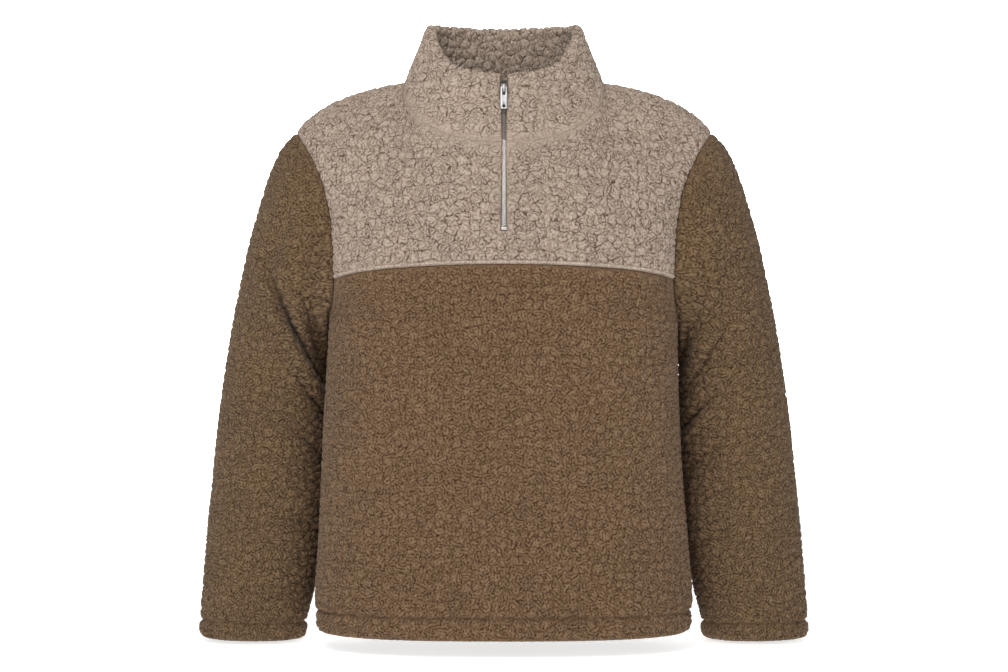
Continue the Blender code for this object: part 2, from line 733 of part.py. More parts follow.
def add_zip(panels, collection):
    path, out = zip_path(panels)
    run = np.concatenate([[0], np.cumsum(np.linalg.norm(np.diff(path, axis=0), axis=1))])
    neck = run[len(YOKE_ROWS[YOKE_ROWS >= SLIT_FOOT_ROW]) - 1]

    for side, name in ((-1, "zip_tape_right"), (1, "zip_tape_left")):
        add_tape(name, side, panels, path, out, run, neck, collection)
    foot = STOP_FOOT + STOP_LENGTH
    for name, start, end, half_width, depths in (
        ("zip_stop", STOP_FOOT, foot, STOP_HALF_WIDTH, STOP_DEPTHS),
        ("zip_teeth", foot + SEAM_GAP, run[-1] - TEETH_TOP_GAP, TEETH_HALF_WIDTH, TEETH_DEPTHS),
    ):
        at = stretch(run, start, end)
        line, ways = read(path, run, at), read(out, run, at)
        add_middle_bar(name, line, ways, half_width, depths, collection)

    # The slider and its pull tab stand square to the teeth, near their top.
    at = [run[-1] - SLIDER_BELOW_TOP]
    seat, way = read(path, run, at)[0], read(out, run, at)[0]
    lean = math.atan2(way[2], -way[1])
    place = Matrix.Translation(Vector(seat * METRES)) @ Matrix.Rotation(-lean, 4, "X")
    upright = Matrix.Rotation(math.pi / 2, 4, "X")
    sideways = Matrix.Rotation(math.pi / 2, 4, "Z") @ upright

    half = SLIDER_LENGTH / 2
    section = [
        (-SLIDER_STEM, SEAM_GAP - TEETH_DEPTHS[0]),
        (SLIDER_STEM, SEAM_GAP - TEETH_DEPTHS[0]),
        (SLIDER_STEM, PLATE_BACK),
        (SLIDER_HALF_WIDTH, PLATE_BACK),
        (SLIDER_HALF_WIDTH, PLATE_FRONT - PLATE_EDGE),
        (SLIDER_HALF_WIDTH - PLATE_EDGE, PLATE_FRONT),
        (-SLIDER_HALF_WIDTH + PLATE_EDGE, PLATE_FRONT),
        (-SLIDER_HALF_WIDTH, PLATE_FRONT - PLATE_EDGE),
        (-SLIDER_HALF_WIDTH, PLATE_BACK),
        (-SLIDER_STEM, PLATE_BACK),
    ]
    section = [(x, -height) for x, height in section[::-1]]
    slider = add_outline("zip_slider", [section], half, "silver", collection)
    slider.matrix_world = place
    outer = rounded_box(
        -BRIDGE_OUT, -PLATE_FRONT + BRIDGE_SINK, BRIDGE_FOOT, BRIDGE_TOP, BRIDGE_CORNERS[0]
    )
    low, high = BRIDGE_FOOT + BRIDGE_WALL, BRIDGE_TOP - BRIDGE_WALL
    inner = rounded_box(-BRIDGE_IN, -PLATE_FRONT, low, high, BRIDGE_CORNERS[1])
    bridge = add_outline("zip_bridge", [outer, inner], BRIDGE_HALF_WIDTH, "silver", collection)
    bridge.matrix_world = place @ sideways
    width, slot = TAB_HALF_WIDTH, TAB_SLOT_HALF
    tab_loops = [
        rounded_box(-width, width, -TAB_LENGTH, TAB_BAR_HALF, TAB_CORNERS[0]),
        rounded_box(-slot, slot, -TAB_SLOT_LENGTH, -TAB_BAR_HALF, TAB_CORNERS[1]),
        circle(-TAB_HOLE_BELOW, TAB_HOLE_RADIUS),
    ]
    tab = add_outline("pull_tab", tab_loops, TAB_HALF_THICK, "silver", collection)
    axis = Matrix.Translation(Vector((0, -AXIS_OUT, AXIS_UP)) * METRES)
    tab.matrix_world = place @ axis @ upright
    return bridge


def main():
    for old in list(bpy.data.objects):
        bpy.data.objects.remove(old)
    collection = bpy.data.collections.new("fleece_pullover")
    bpy.context.scene.collection.children.link(collection)
    joined_pieces = bpy.data.collections.new("joined_pieces")
    bpy.context.scene.collection.children.link(joined_pieces)
    panels = cloth_panels()
    add_cloth(panels, collection)
    add_yoke_edge("yoke_edge_front", panels["front_yoke"], collection)
    add_yoke_edge("yoke_edge_back", panels["back_yoke"], collection)
    bridge = add_zip(panels, collection)
    collection.objects.unlink(bridge)
    joined_pieces.objects.link(bridge)
    bridge.hide_render = True
    bridge.display_type = "WIRE"
    joined = bpy.data.objects["zip_slider"].modifiers.new("bridge", "BOOLEAN")
    joined.operation = "UNION"
    joined.object = bridge


main()
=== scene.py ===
"""A curly fleece pullover with a light yoke, a stand collar and a quarter zip: its look, on the
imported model's frame. Sizes are in millimetres and become metres where a mesh is made."""

import math

import bmesh
import bpy
import numpy as np
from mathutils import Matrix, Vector


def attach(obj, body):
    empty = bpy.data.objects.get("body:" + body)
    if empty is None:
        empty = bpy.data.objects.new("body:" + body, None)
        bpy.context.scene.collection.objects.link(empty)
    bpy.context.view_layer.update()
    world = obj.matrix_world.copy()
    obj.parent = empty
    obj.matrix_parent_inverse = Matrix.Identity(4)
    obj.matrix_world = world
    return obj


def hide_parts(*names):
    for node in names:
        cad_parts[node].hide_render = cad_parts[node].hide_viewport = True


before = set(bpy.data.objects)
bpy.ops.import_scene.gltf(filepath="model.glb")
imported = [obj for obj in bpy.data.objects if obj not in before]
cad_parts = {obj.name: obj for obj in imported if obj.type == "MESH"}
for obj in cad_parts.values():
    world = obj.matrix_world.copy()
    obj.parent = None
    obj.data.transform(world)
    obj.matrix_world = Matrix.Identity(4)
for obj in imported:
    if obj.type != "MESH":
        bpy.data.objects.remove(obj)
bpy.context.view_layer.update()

METRES = 0.001
SEAM_GAP = 0.3
CLOTH = 5.0
COLLAR_WALL = 10.0
HEM_WALL = 8.0

# Heights
HEM = -663.0
ARMPIT = -290.0
YOKE_SEAM_SIDE = -241.0
YOKE_SEAM_MIDDLE = -225.0
YOKE_SEAM_CURVE = 1.6
NECK_FRONT = -82.0
NECK_BACK = -8.0
NECK_CROWN = 8.0

# Across and through the body
NECK_HALF_WIDTH = 121.0
SHOULDER_HALF_WIDTH = 252.0
SHOULDER_Y = 15.0
ARMHOLE_REACH = 52.0
SECTION_POWER = 2.6
NECK_SHARE = 0.45
SLIT_HALF_WIDTH = 4.5
SLIT_RIM_HALF = 4.1

HEM_DEPTH = 30.0
CUFF_DEPTH = 24.0
ARMHOLE_FADE = 120.0
RING_TURN_LENGTH = 180.0
SLEEVE_POWER = 2.15
SLEEVE_RADIUS = 62.0
FOLDS_START = 30.0
FOLD_END_SHARE = 0.35
BODY_FOLDS_MARGIN = 0.12
SHOULDER_LEAN = (1.5, 1.3)
NECK_DIP_POWERS = (0.8, 1.0)

# The raised edge above the yoke seam
EDGE_RISE = 1.2
EDGE_WIDTH = 3.0
EDGE_THICK = 1.2
EDGE_END_GAP = 5.0

# The zip
TEETH_DEPTH = 2.0
TEETH_TOP_GAP = 7.5
STOP_FOOT = 1.0
STOP_LENGTH = 4.0
PLATE_FRONT = 2.3
SLIT_FOOT = 2.265


class Sections:
    """A short table with named columns, read smoothly between its rows along its first column."""

    def __init__(self, columns, *rows):
        self.columns = columns.split()
        self.rows = np.array(rows, float)

    def at(self, name, where):
        """The named column at each value of the first column in 'where'."""
        knots = self.rows[:, 0]
        values = self.rows[:, self.columns.index(name)]
        slopes = np.gradient(values, knots)
        where = np.clip(where, knots[0], knots[-1])
        low = np.clip(np.searchsorted(knots, where, side="right") - 1, 0, len(knots) - 2)
        span = knots[low + 1] - knots[low]
        part = (where - knots[low]) / span
        rest = 1 - part
        start = (1 + 2 * part) * rest**2 * values[low] + part * rest**2 * span * slopes[low]
        end = part**2 * (3 - 2 * part) * values[low + 1] - part**2 * rest * span * slopes[low + 1]
        return start + end


TORSO = Sections(
    "height right_half left_half front_depth back_depth",
    (-663, 221, 220, 111, 105),
    (-627, 226, 225, 113, 107),
    (-562, 223, 221, 114, 108),
    (-480, 219, 214, 117, 109),
    (-410, 216, 210, 120, 112),
    (-345, 212, 208, 124, 117),
    (-290, 209.5, 208, 126, 121),
    (-225, 211.5, 211.5, 125, 122),
)

SHOULDER = Sections(
    "out height",
    (121, 0),
    (155, -7.5),
    (190, -18),
    (212, -28),
    (232, -41),
    (246, -54),
    (252, -62),
)

ARCH = Sections("share front_power back_power", (0, 1.9, 2.7), (0.45, 1.75, 2.1), (1, 2.2, 2.2))

SLEEVE = Sections(
    "along outer_x outer_z inner_x inner_z middle_y half_depth",
    (0, 252, -62, 208, -290, 12, 60),
    (20, 266, -76, 211, -301, 14, 64),
    (50, 280, -101, 213, -313, 18, 67),
    (80, 291, -131, 214, -326, 22, 67),
    (112, 301, -163, 215, -339, 26, 66),
    (140, 309, -190, 215.5, -351, 29, 65),
    (184, 319, -232, 216, -370, 34, 64),
    (230, 329, -278, 216.5, -392, 38, 62),
    (312, 343, -360, 217.5, -438, 42, 60),
    (373, 351, -420, 219, -480, 44, 58),
    (439, 357.5, -485, 221, -528, 45, 56),
    (499, 363.5, -545, 226.5, -574, 45, 53),
    (562, 368.5, -608, 236, -621, 44, 49),
    (604, 371.5, -650, 245, -656, 43, 46),
    (632, 370, -678, 249.5, -680, 43, 44),
)

COLLAR_RIM = Sections(
    "angle height",
    (0, 1),
    (25, 6),
    (45, 18),
    (62, 42),
    (78, 62),
    (95, 69),
    (130, 72),
    (180, 71),
)
RIM_HALF_WIDTH = 92.0
RIM_FRONT_Y = -70.0
RIM_SIDE_Y = 2.0
RIM_BACK_Y = 62.0
COLLAR_HOLLOW = 1.5
COLLAR_MIDDLE_Y = -5.0

# Folds of the sleeves: where each starts and ends along the sleeve and round it (0 outside,
# 90 front, 180 inside, 270 back), how wide it is, and how far it lifts the cloth.
FOLD_COLUMNS = "side along_a angle_a along_b angle_b width lift".split()
SLEEVE_FOLDS = (
    (-1, 138, 62, 184, 160, 11, -8.0),
    (-1, 168, 70, 214, 150, 14, 4.0),
    (-1, 235, 110, 262, 175, 13, -4.0),
    (-1, 60, 150, 120, 168, 13, -4.5),
    (-1, 330, 120, 365, 185, 15, -3.5),
    (-1, 450, 100, 480, 170, 16, -3.0),
    (-1, 150, 300, 190, 205, 13, -6.0),
    (-1, 265, 285, 300, 200, 14, -5.0),
    (-1, 290, 255, 320, 200, 15, 3.0),
    (1, 55, 148, 132, 166, 12, -6.0),
    (1, 268, 122, 288, 172, 11, -5.0),
    (1, 180, 95, 215, 165, 14, -4.0),
    (1, 205, 90, 240, 150, 15, 3.0),
    (1, 350, 110, 385, 180, 15, -3.5),
    (1, 470, 95, 500, 165, 16, -3.0),
    (1, 160, 295, 200, 205, 13, -6.0),
    (1, 285, 290, 315, 200, 14, -5.0),
    (1, 310, 260, 340, 205, 15, 3.0),
)

# Soft hollows and rises of the body: side of the body, place across and up, size and lift.
BODY_FOLD_COLUMNS = "face x_a z_a x_b z_b width lift".split()
BODY_FOLDS = (
    (-1, 168, -392, 150, -430, 22, -3.5),
    (-1, -196, -330, -140, -365, 16, -3.5),
    (-1, 198, -318, 150, -345, 16, -3.0),
    (-1, -205, -560, -170, -480, 20, -3.0),
    (-1, 95, -650, 110, -560, 24, -2.5),
    (-1, -60, -655, -75, -570, 24, -2.5),
    (-1, -182, -205, -150, -165, 15, -3.0),
    (-1, 182, -205, 150, -165, 15, -3.0),
    (1, -190, -330, -120, -380, 18, -4.5),
    (1, 190, -330, 120, -390, 18, -4.5),
    (1, -60, -470, 70, -490, 20, -3.5),
    (1, 0, -650, 20, -570, 22, -3.0),
)


def ramp(value, start, end):
    """0 before start and 1 after end, easing between them."""
    part = np.clip((value - start) / (end - start), 0, 1)
    return part * part * (3 - 2 * part)


def unit(ways):
    """The same directions, each with a length of 1."""
    return ways / np.linalg.norm(ways, axis=-1, keepdims=True)


def line_bump(p, q, start, end, width):
    """How near (p, q) is to the line from start to end: 1 on it, fading over 'width'."""
    along = (end[0] - start[0], end[1] - start[1])
    length = math.hypot(*along)
    share = ((p - start[0]) * along[0] + (q - start[1]) * along[1]) / length**2
    share = np.clip(share, 0, 1)
    gap = np.hypot(p - start[0] - share * along[0], q - start[1] - share * along[1])
    taper = FOLD_END_SHARE + (1 - FOLD_END_SHARE) * np.sin(math.pi * np.clip(share, 0.05, 0.95))
    return taper * np.exp(-((gap / width) ** 2))


def torso(face, across, up):
    """Points of the outer surface of the body, as a grid of 'up' rows and 'across' columns.

    face is -1 for the front and 1 for the back. across runs from -1, the side at -X, to 1.
    up is 0 at the hem, 1 at the armpit, 2 at the yoke seam and 3 at the shoulder and neck.
    """
    u, r = np.broadcast_arrays(np.asarray(across, float)[None, :], np.asarray(up, float)[:, None])
    out = np.abs(u)
    turn = np.clip(r - 1, 0, 1)
    side_z = np.where(r < 1, HEM + (ARMPIT - HEM) * r, ARMPIT)
    middle_z = side_z + (YOKE_SEAM_MIDDLE - ARMPIT) * turn
    side_z = side_z + (YOKE_SEAM_SIDE - ARMPIT) * (1 - np.cos(turn * math.pi / 2))
    z = middle_z + (side_z - middle_z) * out**YOKE_SEAM_CURVE

    half = np.where(u < 0, TORSO.at("right_half", z), TORSO.at("left_half", z))
    depth = TORSO.at("front_depth" if face < 0 else "back_depth", z)
    first = np.arcsin((ARMHOLE_REACH * np.sin(turn * math.pi / 2) / depth) ** (SECTION_POWER / 2))
    share = np.clip(out / NECK_SHARE, 0, 1)
    round_neck = share * math.pi / 2
    angle = first + (math.pi / 2 - first) * (1 - np.maximum(out, NECK_SHARE))
    x = half * np.cos(angle) ** (2 / SECTION_POWER)
    x = x * share * (1 + (math.pi / 2 - 1) * (1 - share) ** 2)
    y = face * depth * (1 - (x / half) ** SECTION_POWER) ** (1 / SECTION_POWER)
    x = np.sign(u) * x

    # The yoke: each column arches from the yoke seam to the shoulder line or the neck seam.
    along_shoulder = np.clip((out - NECK_SHARE) / (1 - NECK_SHARE), 0, 1)
    shoulder_x = NECK_HALF_WIDTH + (SHOULDER_HALF_WIDTH - NECK_HALF_WIDTH) * along_shoulder
    top_x = np.where(out < NECK_SHARE, NECK_HALF_WIDTH * np.sin(round_neck), shoulder_x)
    ridge_z = SHOULDER.at("height", shoulder_x) + NECK_CROWN * np.cos(round_neck) ** 2
    dip = NECK_FRONT if face < 0 else NECK_BACK
    neck_z = dip * np.clip(np.cos(round_neck), 0, 1) ** NECK_DIP_POWERS[0 if face < 0 else 1]
    cut = np.where(out < NECK_SHARE, (neck_z - z) / (ridge_z - z), 1.0)
    power = ARCH.at("front_power" if face < 0 else "back_power", out)
    last = np.arcsin(np.clip(cut, 0, 1) ** (power / 2))
    arch = np.clip(r - 2, 0, 1) * last
    rise = np.sin(arch) ** (2 / power)
    back = np.clip(np.cos(arch), 0, 1) ** (2 / power)
    lean = SHOULDER_LEAN[0] + SHOULDER_LEAN[1] * out
    x = x + (np.sign(u) * top_x - x) * (rise / cut) ** lean
    y = SHOULDER_Y + (y - SHOULDER_Y) * back
    z = z + (ridge_z - z) * rise

    lift = np.zeros_like(x)
    for row in BODY_FOLDS:
        fold = dict(zip(BODY_FOLD_COLUMNS, row))
        if fold["face"] == face:
            ends = (fold["x_a"], fold["z_a"]), (fold["x_b"], fold["z_b"])
            lift += fold["lift"] * line_bump(x, z, *ends, fold["width"])
    lift *= ramp(1 - out, 0, BODY_FOLDS_MARGIN)
    y = y + face * lift
    return np.stack([x, y, z], axis=-1)


def sleeve(side, seam, along, folds):
    """Points of a sleeve's outer surface, a ring for each value of 'along' from the seam down."""
    count = len(seam)
    along = np.asarray(along, float)[:, None]
    outer = np.stack([side * SLEEVE.at("outer_x", along), SLEEVE.at("outer_z", along)], -1)
    inner = np.stack([side * SLEEVE.at("inner_x", along), SLEEVE.at("inner_z", along)], -1)
    middle, arm = (outer + inner) / 2, (outer - inner) / 2
    middle_y, half_depth = SLEEVE.at("middle_y", along), SLEEVE.at("half_depth", along)

    # The first ring is the seam itself. Lower rings turn to even steps round the sleeve.
    first_arm, first_middle = arm[0, 0], middle[0, 0]
    reach = (seam[:, ::2] - first_middle) @ first_arm / (first_arm @ first_arm)
    start = np.arctan2(-(seam[:, 1] - middle_y[0, 0]) / half_depth[0, 0], reach) % (2 * math.pi)
    start[0] = 0
    even = np.arange(count) * 2 * math.pi / count
    turn = start + (even - start) * ramp(along, 0, RING_TURN_LENGTH)
    power = 2 / SLEEVE_POWER
    reach = np.sign(np.cos(turn)) * np.abs(np.cos(turn)) ** power
    forward = np.sign(np.sin(turn)) * np.abs(np.sin(turn)) ** power
    flat = middle + arm * reach[..., None]
    points = np.stack([flat[..., 0], middle_y - half_depth * forward, flat[..., 1]], -1)
    points += (seam - points[0]) * (np.clip(1 - along / ARMHOLE_FADE, 0, 1) ** 2)[..., None]

    lift = np.zeros(points.shape[:2])
    for row in folds:
        fold = dict(zip(FOLD_COLUMNS, row))
        if fold["side"] == side:
            ends = [
                (fold["along_" + end], math.radians(fold["angle_" + end]) * SLEEVE_RADIUS)
                for end in "ab"
            ]
            lift += fold["lift"] * line_bump(along, turn * SLEEVE_RADIUS, *ends, fold["width"])
    lift *= ramp(along, 0, FOLDS_START)
    centre = np.stack([middle[..., 0], middle_y, middle[..., 1]], -1)
    return points + unit(points - centre) * lift[..., None]


def collar(base, angle, up):
    """Points of the collar's outer surface. base is the neck seam and angle, in degrees, runs
    from 0 at the front to 180 at the back on each side. up is 0 at the seam and 1 at the rim."""
    around = np.radians(angle)
    slit = np.where(angle < 90, SLIT_RIM_HALF, 0)
    rim_y = np.where(
        angle < 90,
        RIM_SIDE_Y + (RIM_FRONT_Y - RIM_SIDE_Y) * np.cos(around),
        RIM_SIDE_Y - (RIM_BACK_Y - RIM_SIDE_Y) * np.cos(around),
    )
    rim = np.stack(
        [
            np.sign(base[:, 0]) * np.maximum(RIM_HALF_WIDTH * np.sin(around), slit),
            rim_y,
            COLLAR_RIM.at("height", angle),
        ],
        -1,
    )
    up = np.asarray(up, float)[:, None, None]
    points = base + (rim - base) * up
    outward = (base + rim) / 2 - np.array([0, COLLAR_MIDDLE_Y, 0])
    outward[:, 2] = 0
    return points - unit(outward) * COLLAR_HOLLOW * np.sin(math.pi * up) * (1 - 0.5 * up)


def corner_normals(points, faces):
    """A unit normal at each point, from the faces round it."""
    a, b, c, d = (points[faces[:, n]] for n in range(4))
    normal = np.cross(c - a, d - b)
    total = np.zeros_like(points)
    for n in range(4):
        for axis in range(3):
            total[:, axis] += np.bincount(faces[:, n], normal[:, axis], len(points))
    return total / np.maximum(np.linalg.norm(total, axis=1, keepdims=True), 1e-9)


def linked(name, data):
    """A new object in the scene."""
    made = bpy.data.objects.new(name, data)
    bpy.context.scene.collection.objects.link(made)
    return made


def node(tree, kind, inputs=(), **settings):
    """A new node. inputs are pairs of a socket's name or number and its value or its source."""
    made = tree.nodes.new(kind)
    for name, value in settings.items():
        setattr(made, name, value)
    for key, value in inputs:
        if isinstance(value, bpy.types.NodeSocket):
            tree.links.new(value, made.inputs[key])
        else:
            made.inputs[key].default_value = value
    return made


def sums(tree, operation, *values):
    """The outcome of some arithmetic on numbers or sockets."""
    return node(tree, "ShaderNodeMath", enumerate(values), operation=operation).outputs[0]


def vectors(tree, operation, *values):
    """The same on vectors."""
    made = tree.nodes.new("ShaderNodeVectorMath")
    made.operation = operation
    for place, value in enumerate(values):
        socket = made.inputs["Scale"] if operation == "SCALE" and place == 1 else made.inputs[place]
        if isinstance(value, bpy.types.NodeSocket):
            tree.links.new(value, socket)
        else:
            socket.default_value = value
    return made.outputs[0]


def eased(tree, value, low, high):
    """0 where the value is at low and 1 at high, easing between them."""
    inputs = [("Value", value), ("From Min", low), ("From Max", high)]
    return node(tree, "ShaderNodeMapRange", inputs, interpolation_type="SMOOTHSTEP").outputs[0]


def noise(tree, place, size, detail=0.0, shift=0.0, colour=False):
    """Uneven patches about 'size' across, as one number or as a colour of three."""
    moved = vectors(tree, "ADD", place, (shift, 2 * shift, 0)) if shift else place
    inputs = [("Vector", moved), ("Scale", 1 / size), ("Detail", detail), ("Roughness", 0.5)]
    made = node(tree, "ShaderNodeTexNoise", inputs, noise_dimensions="2D")
    return made.outputs["Color" if colour else 0]


def bent_place(tree, place, size, reach):
    """The place moved about by up to half of 'reach', so that straight patterns bend."""
    bend = vectors(tree, "SUBTRACT", noise(tree, place, size, 1.0, colour=True), (0.5, 0.5, 0.5))
    return vectors(tree, "ADD", place, vectors(tree, "SCALE", bend, reach))


# How the pile's lines fade, in millimetres: clear of a line at the first, dark at the second.
TUFT_UNEVENNESS = 0.85
TUFT_LINE = (0.85, 0.2)
WORM_LINE = (1.15, 0.15)
WORM_BEND_SIZE = 7.0
WORM_BEND = 3.5
CREST_SHADE = 0.14
# Rings inside a tuft: their step in pitches, and where in a step the line is and how it fades
RING_STEP = 0.85
RING_AT = 0.85
RING_LINE = (0.25, 0.04)


def pile_cells(tree, place, curl):
    """How deep a place lies inside its tuft, in millimetres: tufts are about 'curl' across."""
    bent = bent_place(tree, place, 0.8 * curl, 0.9 * curl)
    inputs = [("Vector", bent), ("Scale", 1 / curl), ("Randomness", TUFT_UNEVENNESS)]
    settings = {"voronoi_dimensions": "2D", "feature": "DISTANCE_TO_EDGE"}
    cell = node(tree, "ShaderNodeTexVoronoi", inputs, **settings)
    return sums(tree, "MULTIPLY", cell.outputs["Distance"], curl)


def pile_height(tree, place, curl):
    """The pile's soft form, 0 to 1, at a place in millimetres: low round tufts."""
    return eased(tree, pile_cells(tree, place, curl), -0.1 * curl, 0.3 * curl)


def less(tree, value, strength):
    """1 less a line's darkness."""
    return sums(tree, "SUBTRACT", 1.0, sums(tree, "MULTIPLY", value, strength))


def worms(tree, place, period, shift):
    """How far a place is from the nearest of some wandering lines, 'period' apart."""
    moved = vectors(tree, "ADD", place, (shift, -shift, 0))
    inputs = [("Vector", moved), ("Scale", 1 / (2 * period)), ("Frequency", 2.0), ("Anisotropy", 0.0)]
    made = node(tree, "ShaderNodeTexGabor", inputs, gabor_type="2D")
    away = sums(tree, "ABSOLUTE", sums(tree, "SUBTRACT", made.outputs["Phase"], 0.5))
    return sums(tree, "MULTIPLY", away, period)


def faded(tree, place, size, shift, span, strength, least):
    """A line's strength, down to its 'least' share of it in uneven patches about 'size' across."""
    patch = eased(tree, noise(tree, place, size, 1.0, shift=shift), *span)
    return sums(tree, "MULTIPLY_ADD", patch, (1 - least) * strength, least * strength)


def pile_lines(tree, place, curl, pitch, edges, wander, rings):
    """How open the pile is, 1 on top and 0 in a crevice: thin lines round the tufts, rings inside
    them, and worms 'pitch' apart that wander across, each fainter in places."""
    depth = pile_cells(tree, place, curl)
    strength = faded(tree, place, curl, 53.0, (0.4, 0.62), edges, 0.25)
    open_edge = less(tree, eased(tree, depth, *TUFT_LINE), strength)

    away = worms(tree, bent_place(tree, place, WORM_BEND_SIZE, WORM_BEND), pitch, 31.0)
    strength = faded(tree, place, 0.7 * curl, -11.0, (0.3, 0.66), wander, 0.3)
    open_worm = less(tree, eased(tree, away, *WORM_LINE), strength)
    crest = eased(tree, away, 1.0, 0.5 * pitch)

    turn = sums(tree, "FRACT", sums(tree, "DIVIDE", depth, RING_STEP * pitch))
    ring = sums(tree, "ABSOLUTE", sums(tree, "SUBTRACT", turn, RING_AT))
    strength = faded(tree, place, 1.2 * curl, 71.0, (0.44, 0.58), rings, 0.2)
    open_ring = less(tree, eased(tree, ring, *RING_LINE), strength)
    lines = sums(tree, "MULTIPLY", sums(tree, "MULTIPLY", open_edge, open_worm), open_ring)
    # Crests between the wandering lines come out lighter: a painted highlight in the colour, and a
    # small rise in the bump.
    shade = sums(tree, "MULTIPLY_ADD", crest, CREST_SHADE, 1 - CREST_SHADE)
    return sums(tree, "MULTIPLY", lines, shade)


# The tone of pressed pile, and the size of its fibres and of its uneven patches
PRESSED_TONE = 0.76
FIBRE_SIZE = 1.3
PATCH_SIZE = 60.0


def pile_at(points, curl):
    """The same pile height as the materials show, read at points."""
    mesh = bpy.data.meshes.new("probe")
    mesh.vertices.add(len(points))
    mesh.vertices.foreach_set("co", points.astype(np.float32).ravel())
    probe = linked("probe", mesh)
    tree = bpy.data.node_groups.new("probe", "GeometryNodeTree")
    tree.interface.new_socket("Geometry", in_out="INPUT", socket_type="NodeSocketGeometry")
    tree.interface.new_socket("Geometry", in_out="OUTPUT", socket_type="NodeSocketGeometry")
    start = tree.nodes.new("NodeGroupInput")
    end = tree.nodes.new("NodeGroupOutput")
    place = tree.nodes.new("GeometryNodeInputPosition").outputs[0]
    soft = pile_height(tree, place, curl)
    inputs = [("Geometry", start.outputs[0]), ("Name", "pile"), ("Value", soft)]
    store = node(tree, "GeometryNodeStoreNamedAttribute", inputs, data_type="FLOAT", domain="POINT")
    tree.links.new(store.outputs[0], end.inputs[0])
    probe.modifiers.new("probe", "NODES").node_group = tree
    graph = bpy.context.evaluated_depsgraph_get()
    seen = probe.evaluated_get(graph).to_mesh()
    height = np.empty(len(points), np.float32)
    seen.attributes["pile"].data.foreach_get("value", height)
    probe.evaluated_get(graph).to_mesh_clear()
    bpy.data.objects.remove(probe)
    bpy.data.meshes.remove(mesh)
    bpy.data.node_groups.remove(tree)
    return height.astype(float)


def new_material(name, on_cloth=False):
    """A material with its nodes, its shader and a place in millimetres: on the cloth, along its
    width and length, or in space."""
    made = bpy.data.materials.new(name)
    made.use_nodes = True
    tree = made.node_tree
    shader = tree.nodes["Principled BSDF"]
    if on_cloth:
        place = node(tree, "ShaderNodeAttribute", attribute_name="cloth").outputs["Vector"]
        return made, tree, shader, place
    place = node(tree, "ShaderNodeTexCoord").outputs["Object"]
    return made, tree, shader, vectors(tree, "SCALE", place, 1 / METRES)


def blended(tree, value, first, last, *between):
    """A colour for each value, from pairs of a value and a colour."""
    made = node(tree, "ShaderNodeValToRGB", [("Fac", value)])
    stops = made.color_ramp.elements
    for stop, (place, colour) in zip(stops, (first, last)):
        stop.position = place
        stop.color = (*colour, 1)
    for place, colour in between:
        stops.new(place).color = (*colour, 1)
    return made.outputs[0]


def bumped(tree, shader, height, depth, strength):
    """Gives a material fine relief, 'depth' millimetres deep."""
    inputs = [("Height", height), ("Distance", depth * METRES), ("Strength", strength)]
    bump = node(tree, "ShaderNodeBump", inputs)
    tree.links.new(bump.outputs[0], shader.inputs["Normal"])


def set_values(shader, *rows):
    """Sets a shader's sockets, from pairs of a name and a value."""
    for name, value in rows:
        shader.inputs[name].default_value = value


def fleece(name, curl, pitch, strengths, dark, middle, light, relief=0.6):
    """Curly pile, from painted shade in dark crevices to a painted highlight on light tips.
    'strengths' are those of the lines round tufts, the wandering ones and the rings inside tufts."""
    made, tree, shader, place = new_material(name, on_cloth=True)
    lines = pile_lines(tree, place, curl, pitch, *strengths)
    soft = pile_height(tree, place, curl)
    press = node(tree, "ShaderNodeAttribute", attribute_name="press").outputs["Fac"]
    even = sums(tree, "MULTIPLY_ADD", press, -0.7, 1.0)
    # The colour is darker in the crevices and low in the tufts, painted shade, and lightest on the
    # tips, a painted highlight.
    tone = sums(tree, "MULTIPLY", lines, sums(tree, "MULTIPLY_ADD", soft, 0.30, 0.70))
    shown = node(tree, "ShaderNodeMix", [("Factor", even), ("A", PRESSED_TONE), ("B", tone)]).outputs[0]
    fibre = noise(tree, place, FIBRE_SIZE, 2.0, shift=5.0)
    shown = sums(tree, "ADD", shown, sums(tree, "MULTIPLY_ADD", fibre, 0.3, -0.15))
    colour = blended(tree, shown, (0.12, dark), (1.0, light), (0.7, middle))
    patch = noise(tree, place, PATCH_SIZE, 2.0, shift=9.0)
    patch = sums(tree, "MULTIPLY_ADD", patch, 0.24, 0.88)
    tree.links.new(vectors(tree, "SCALE", colour, patch), shader.inputs["Base Color"])
    deep = sums(tree, "ADD", lines, sums(tree, "MULTIPLY", fibre, 0.3))
    deep = sums(tree, "MULTIPLY", sums(tree, "MULTIPLY", deep, relief), even)
    bumped(tree, shader, deep, 1.0, 1.0)
    set_values(shader, ("Roughness", 1.0), ("Specular IOR Level", 0.03))
    set_values(shader, ("Sheen Weight", 0.10), ("Sheen Roughness", 0.6))
    return made


def woven(name, colour):
    """A plain narrow weave, for the zip's tape, with painted shade: darker towards the collar and
    darkest at the top, by the slider.
    """
    made, tree, shader, place = new_material(name)
    split = node(tree, "ShaderNodeSeparateXYZ", [(0, place)])
    height = split.outputs["Z"]
    threads = []
    for way, spacing in ((height, 0.9), (split.outputs["X"], 0.7)):
        wave = sums(tree, "SINE", sums(tree, "MULTIPLY", way, math.pi / spacing))
        threads.append(sums(tree, "ABSOLUTE", wave))
    weave = sums(tree, "MULTIPLY", *threads)
    shown = blended(tree, weave, (0.0, [0.55 * c for c in colour]), (1.0, colour))
    # Painted shade: the tape is darker higher up, in the collar, and darker still at the top.
    painted_shade = sums(tree, "MULTIPLY_ADD", eased(tree, height, -40.0, -100.0), 0.6, 0.4)
    notch_shade = sums(tree, "MULTIPLY_ADD", eased(tree, height, -12.0, -32.0), 0.75, 0.25)
    painted_shade = sums(tree, "MULTIPLY", painted_shade, notch_shade)
    tree.links.new(vectors(tree, "SCALE", shown, painted_shade), shader.inputs["Base Color"])
    bumped(tree, shader, weave, 0.3, 0.8)
    set_values(shader, ("Roughness", 0.85))
    return made


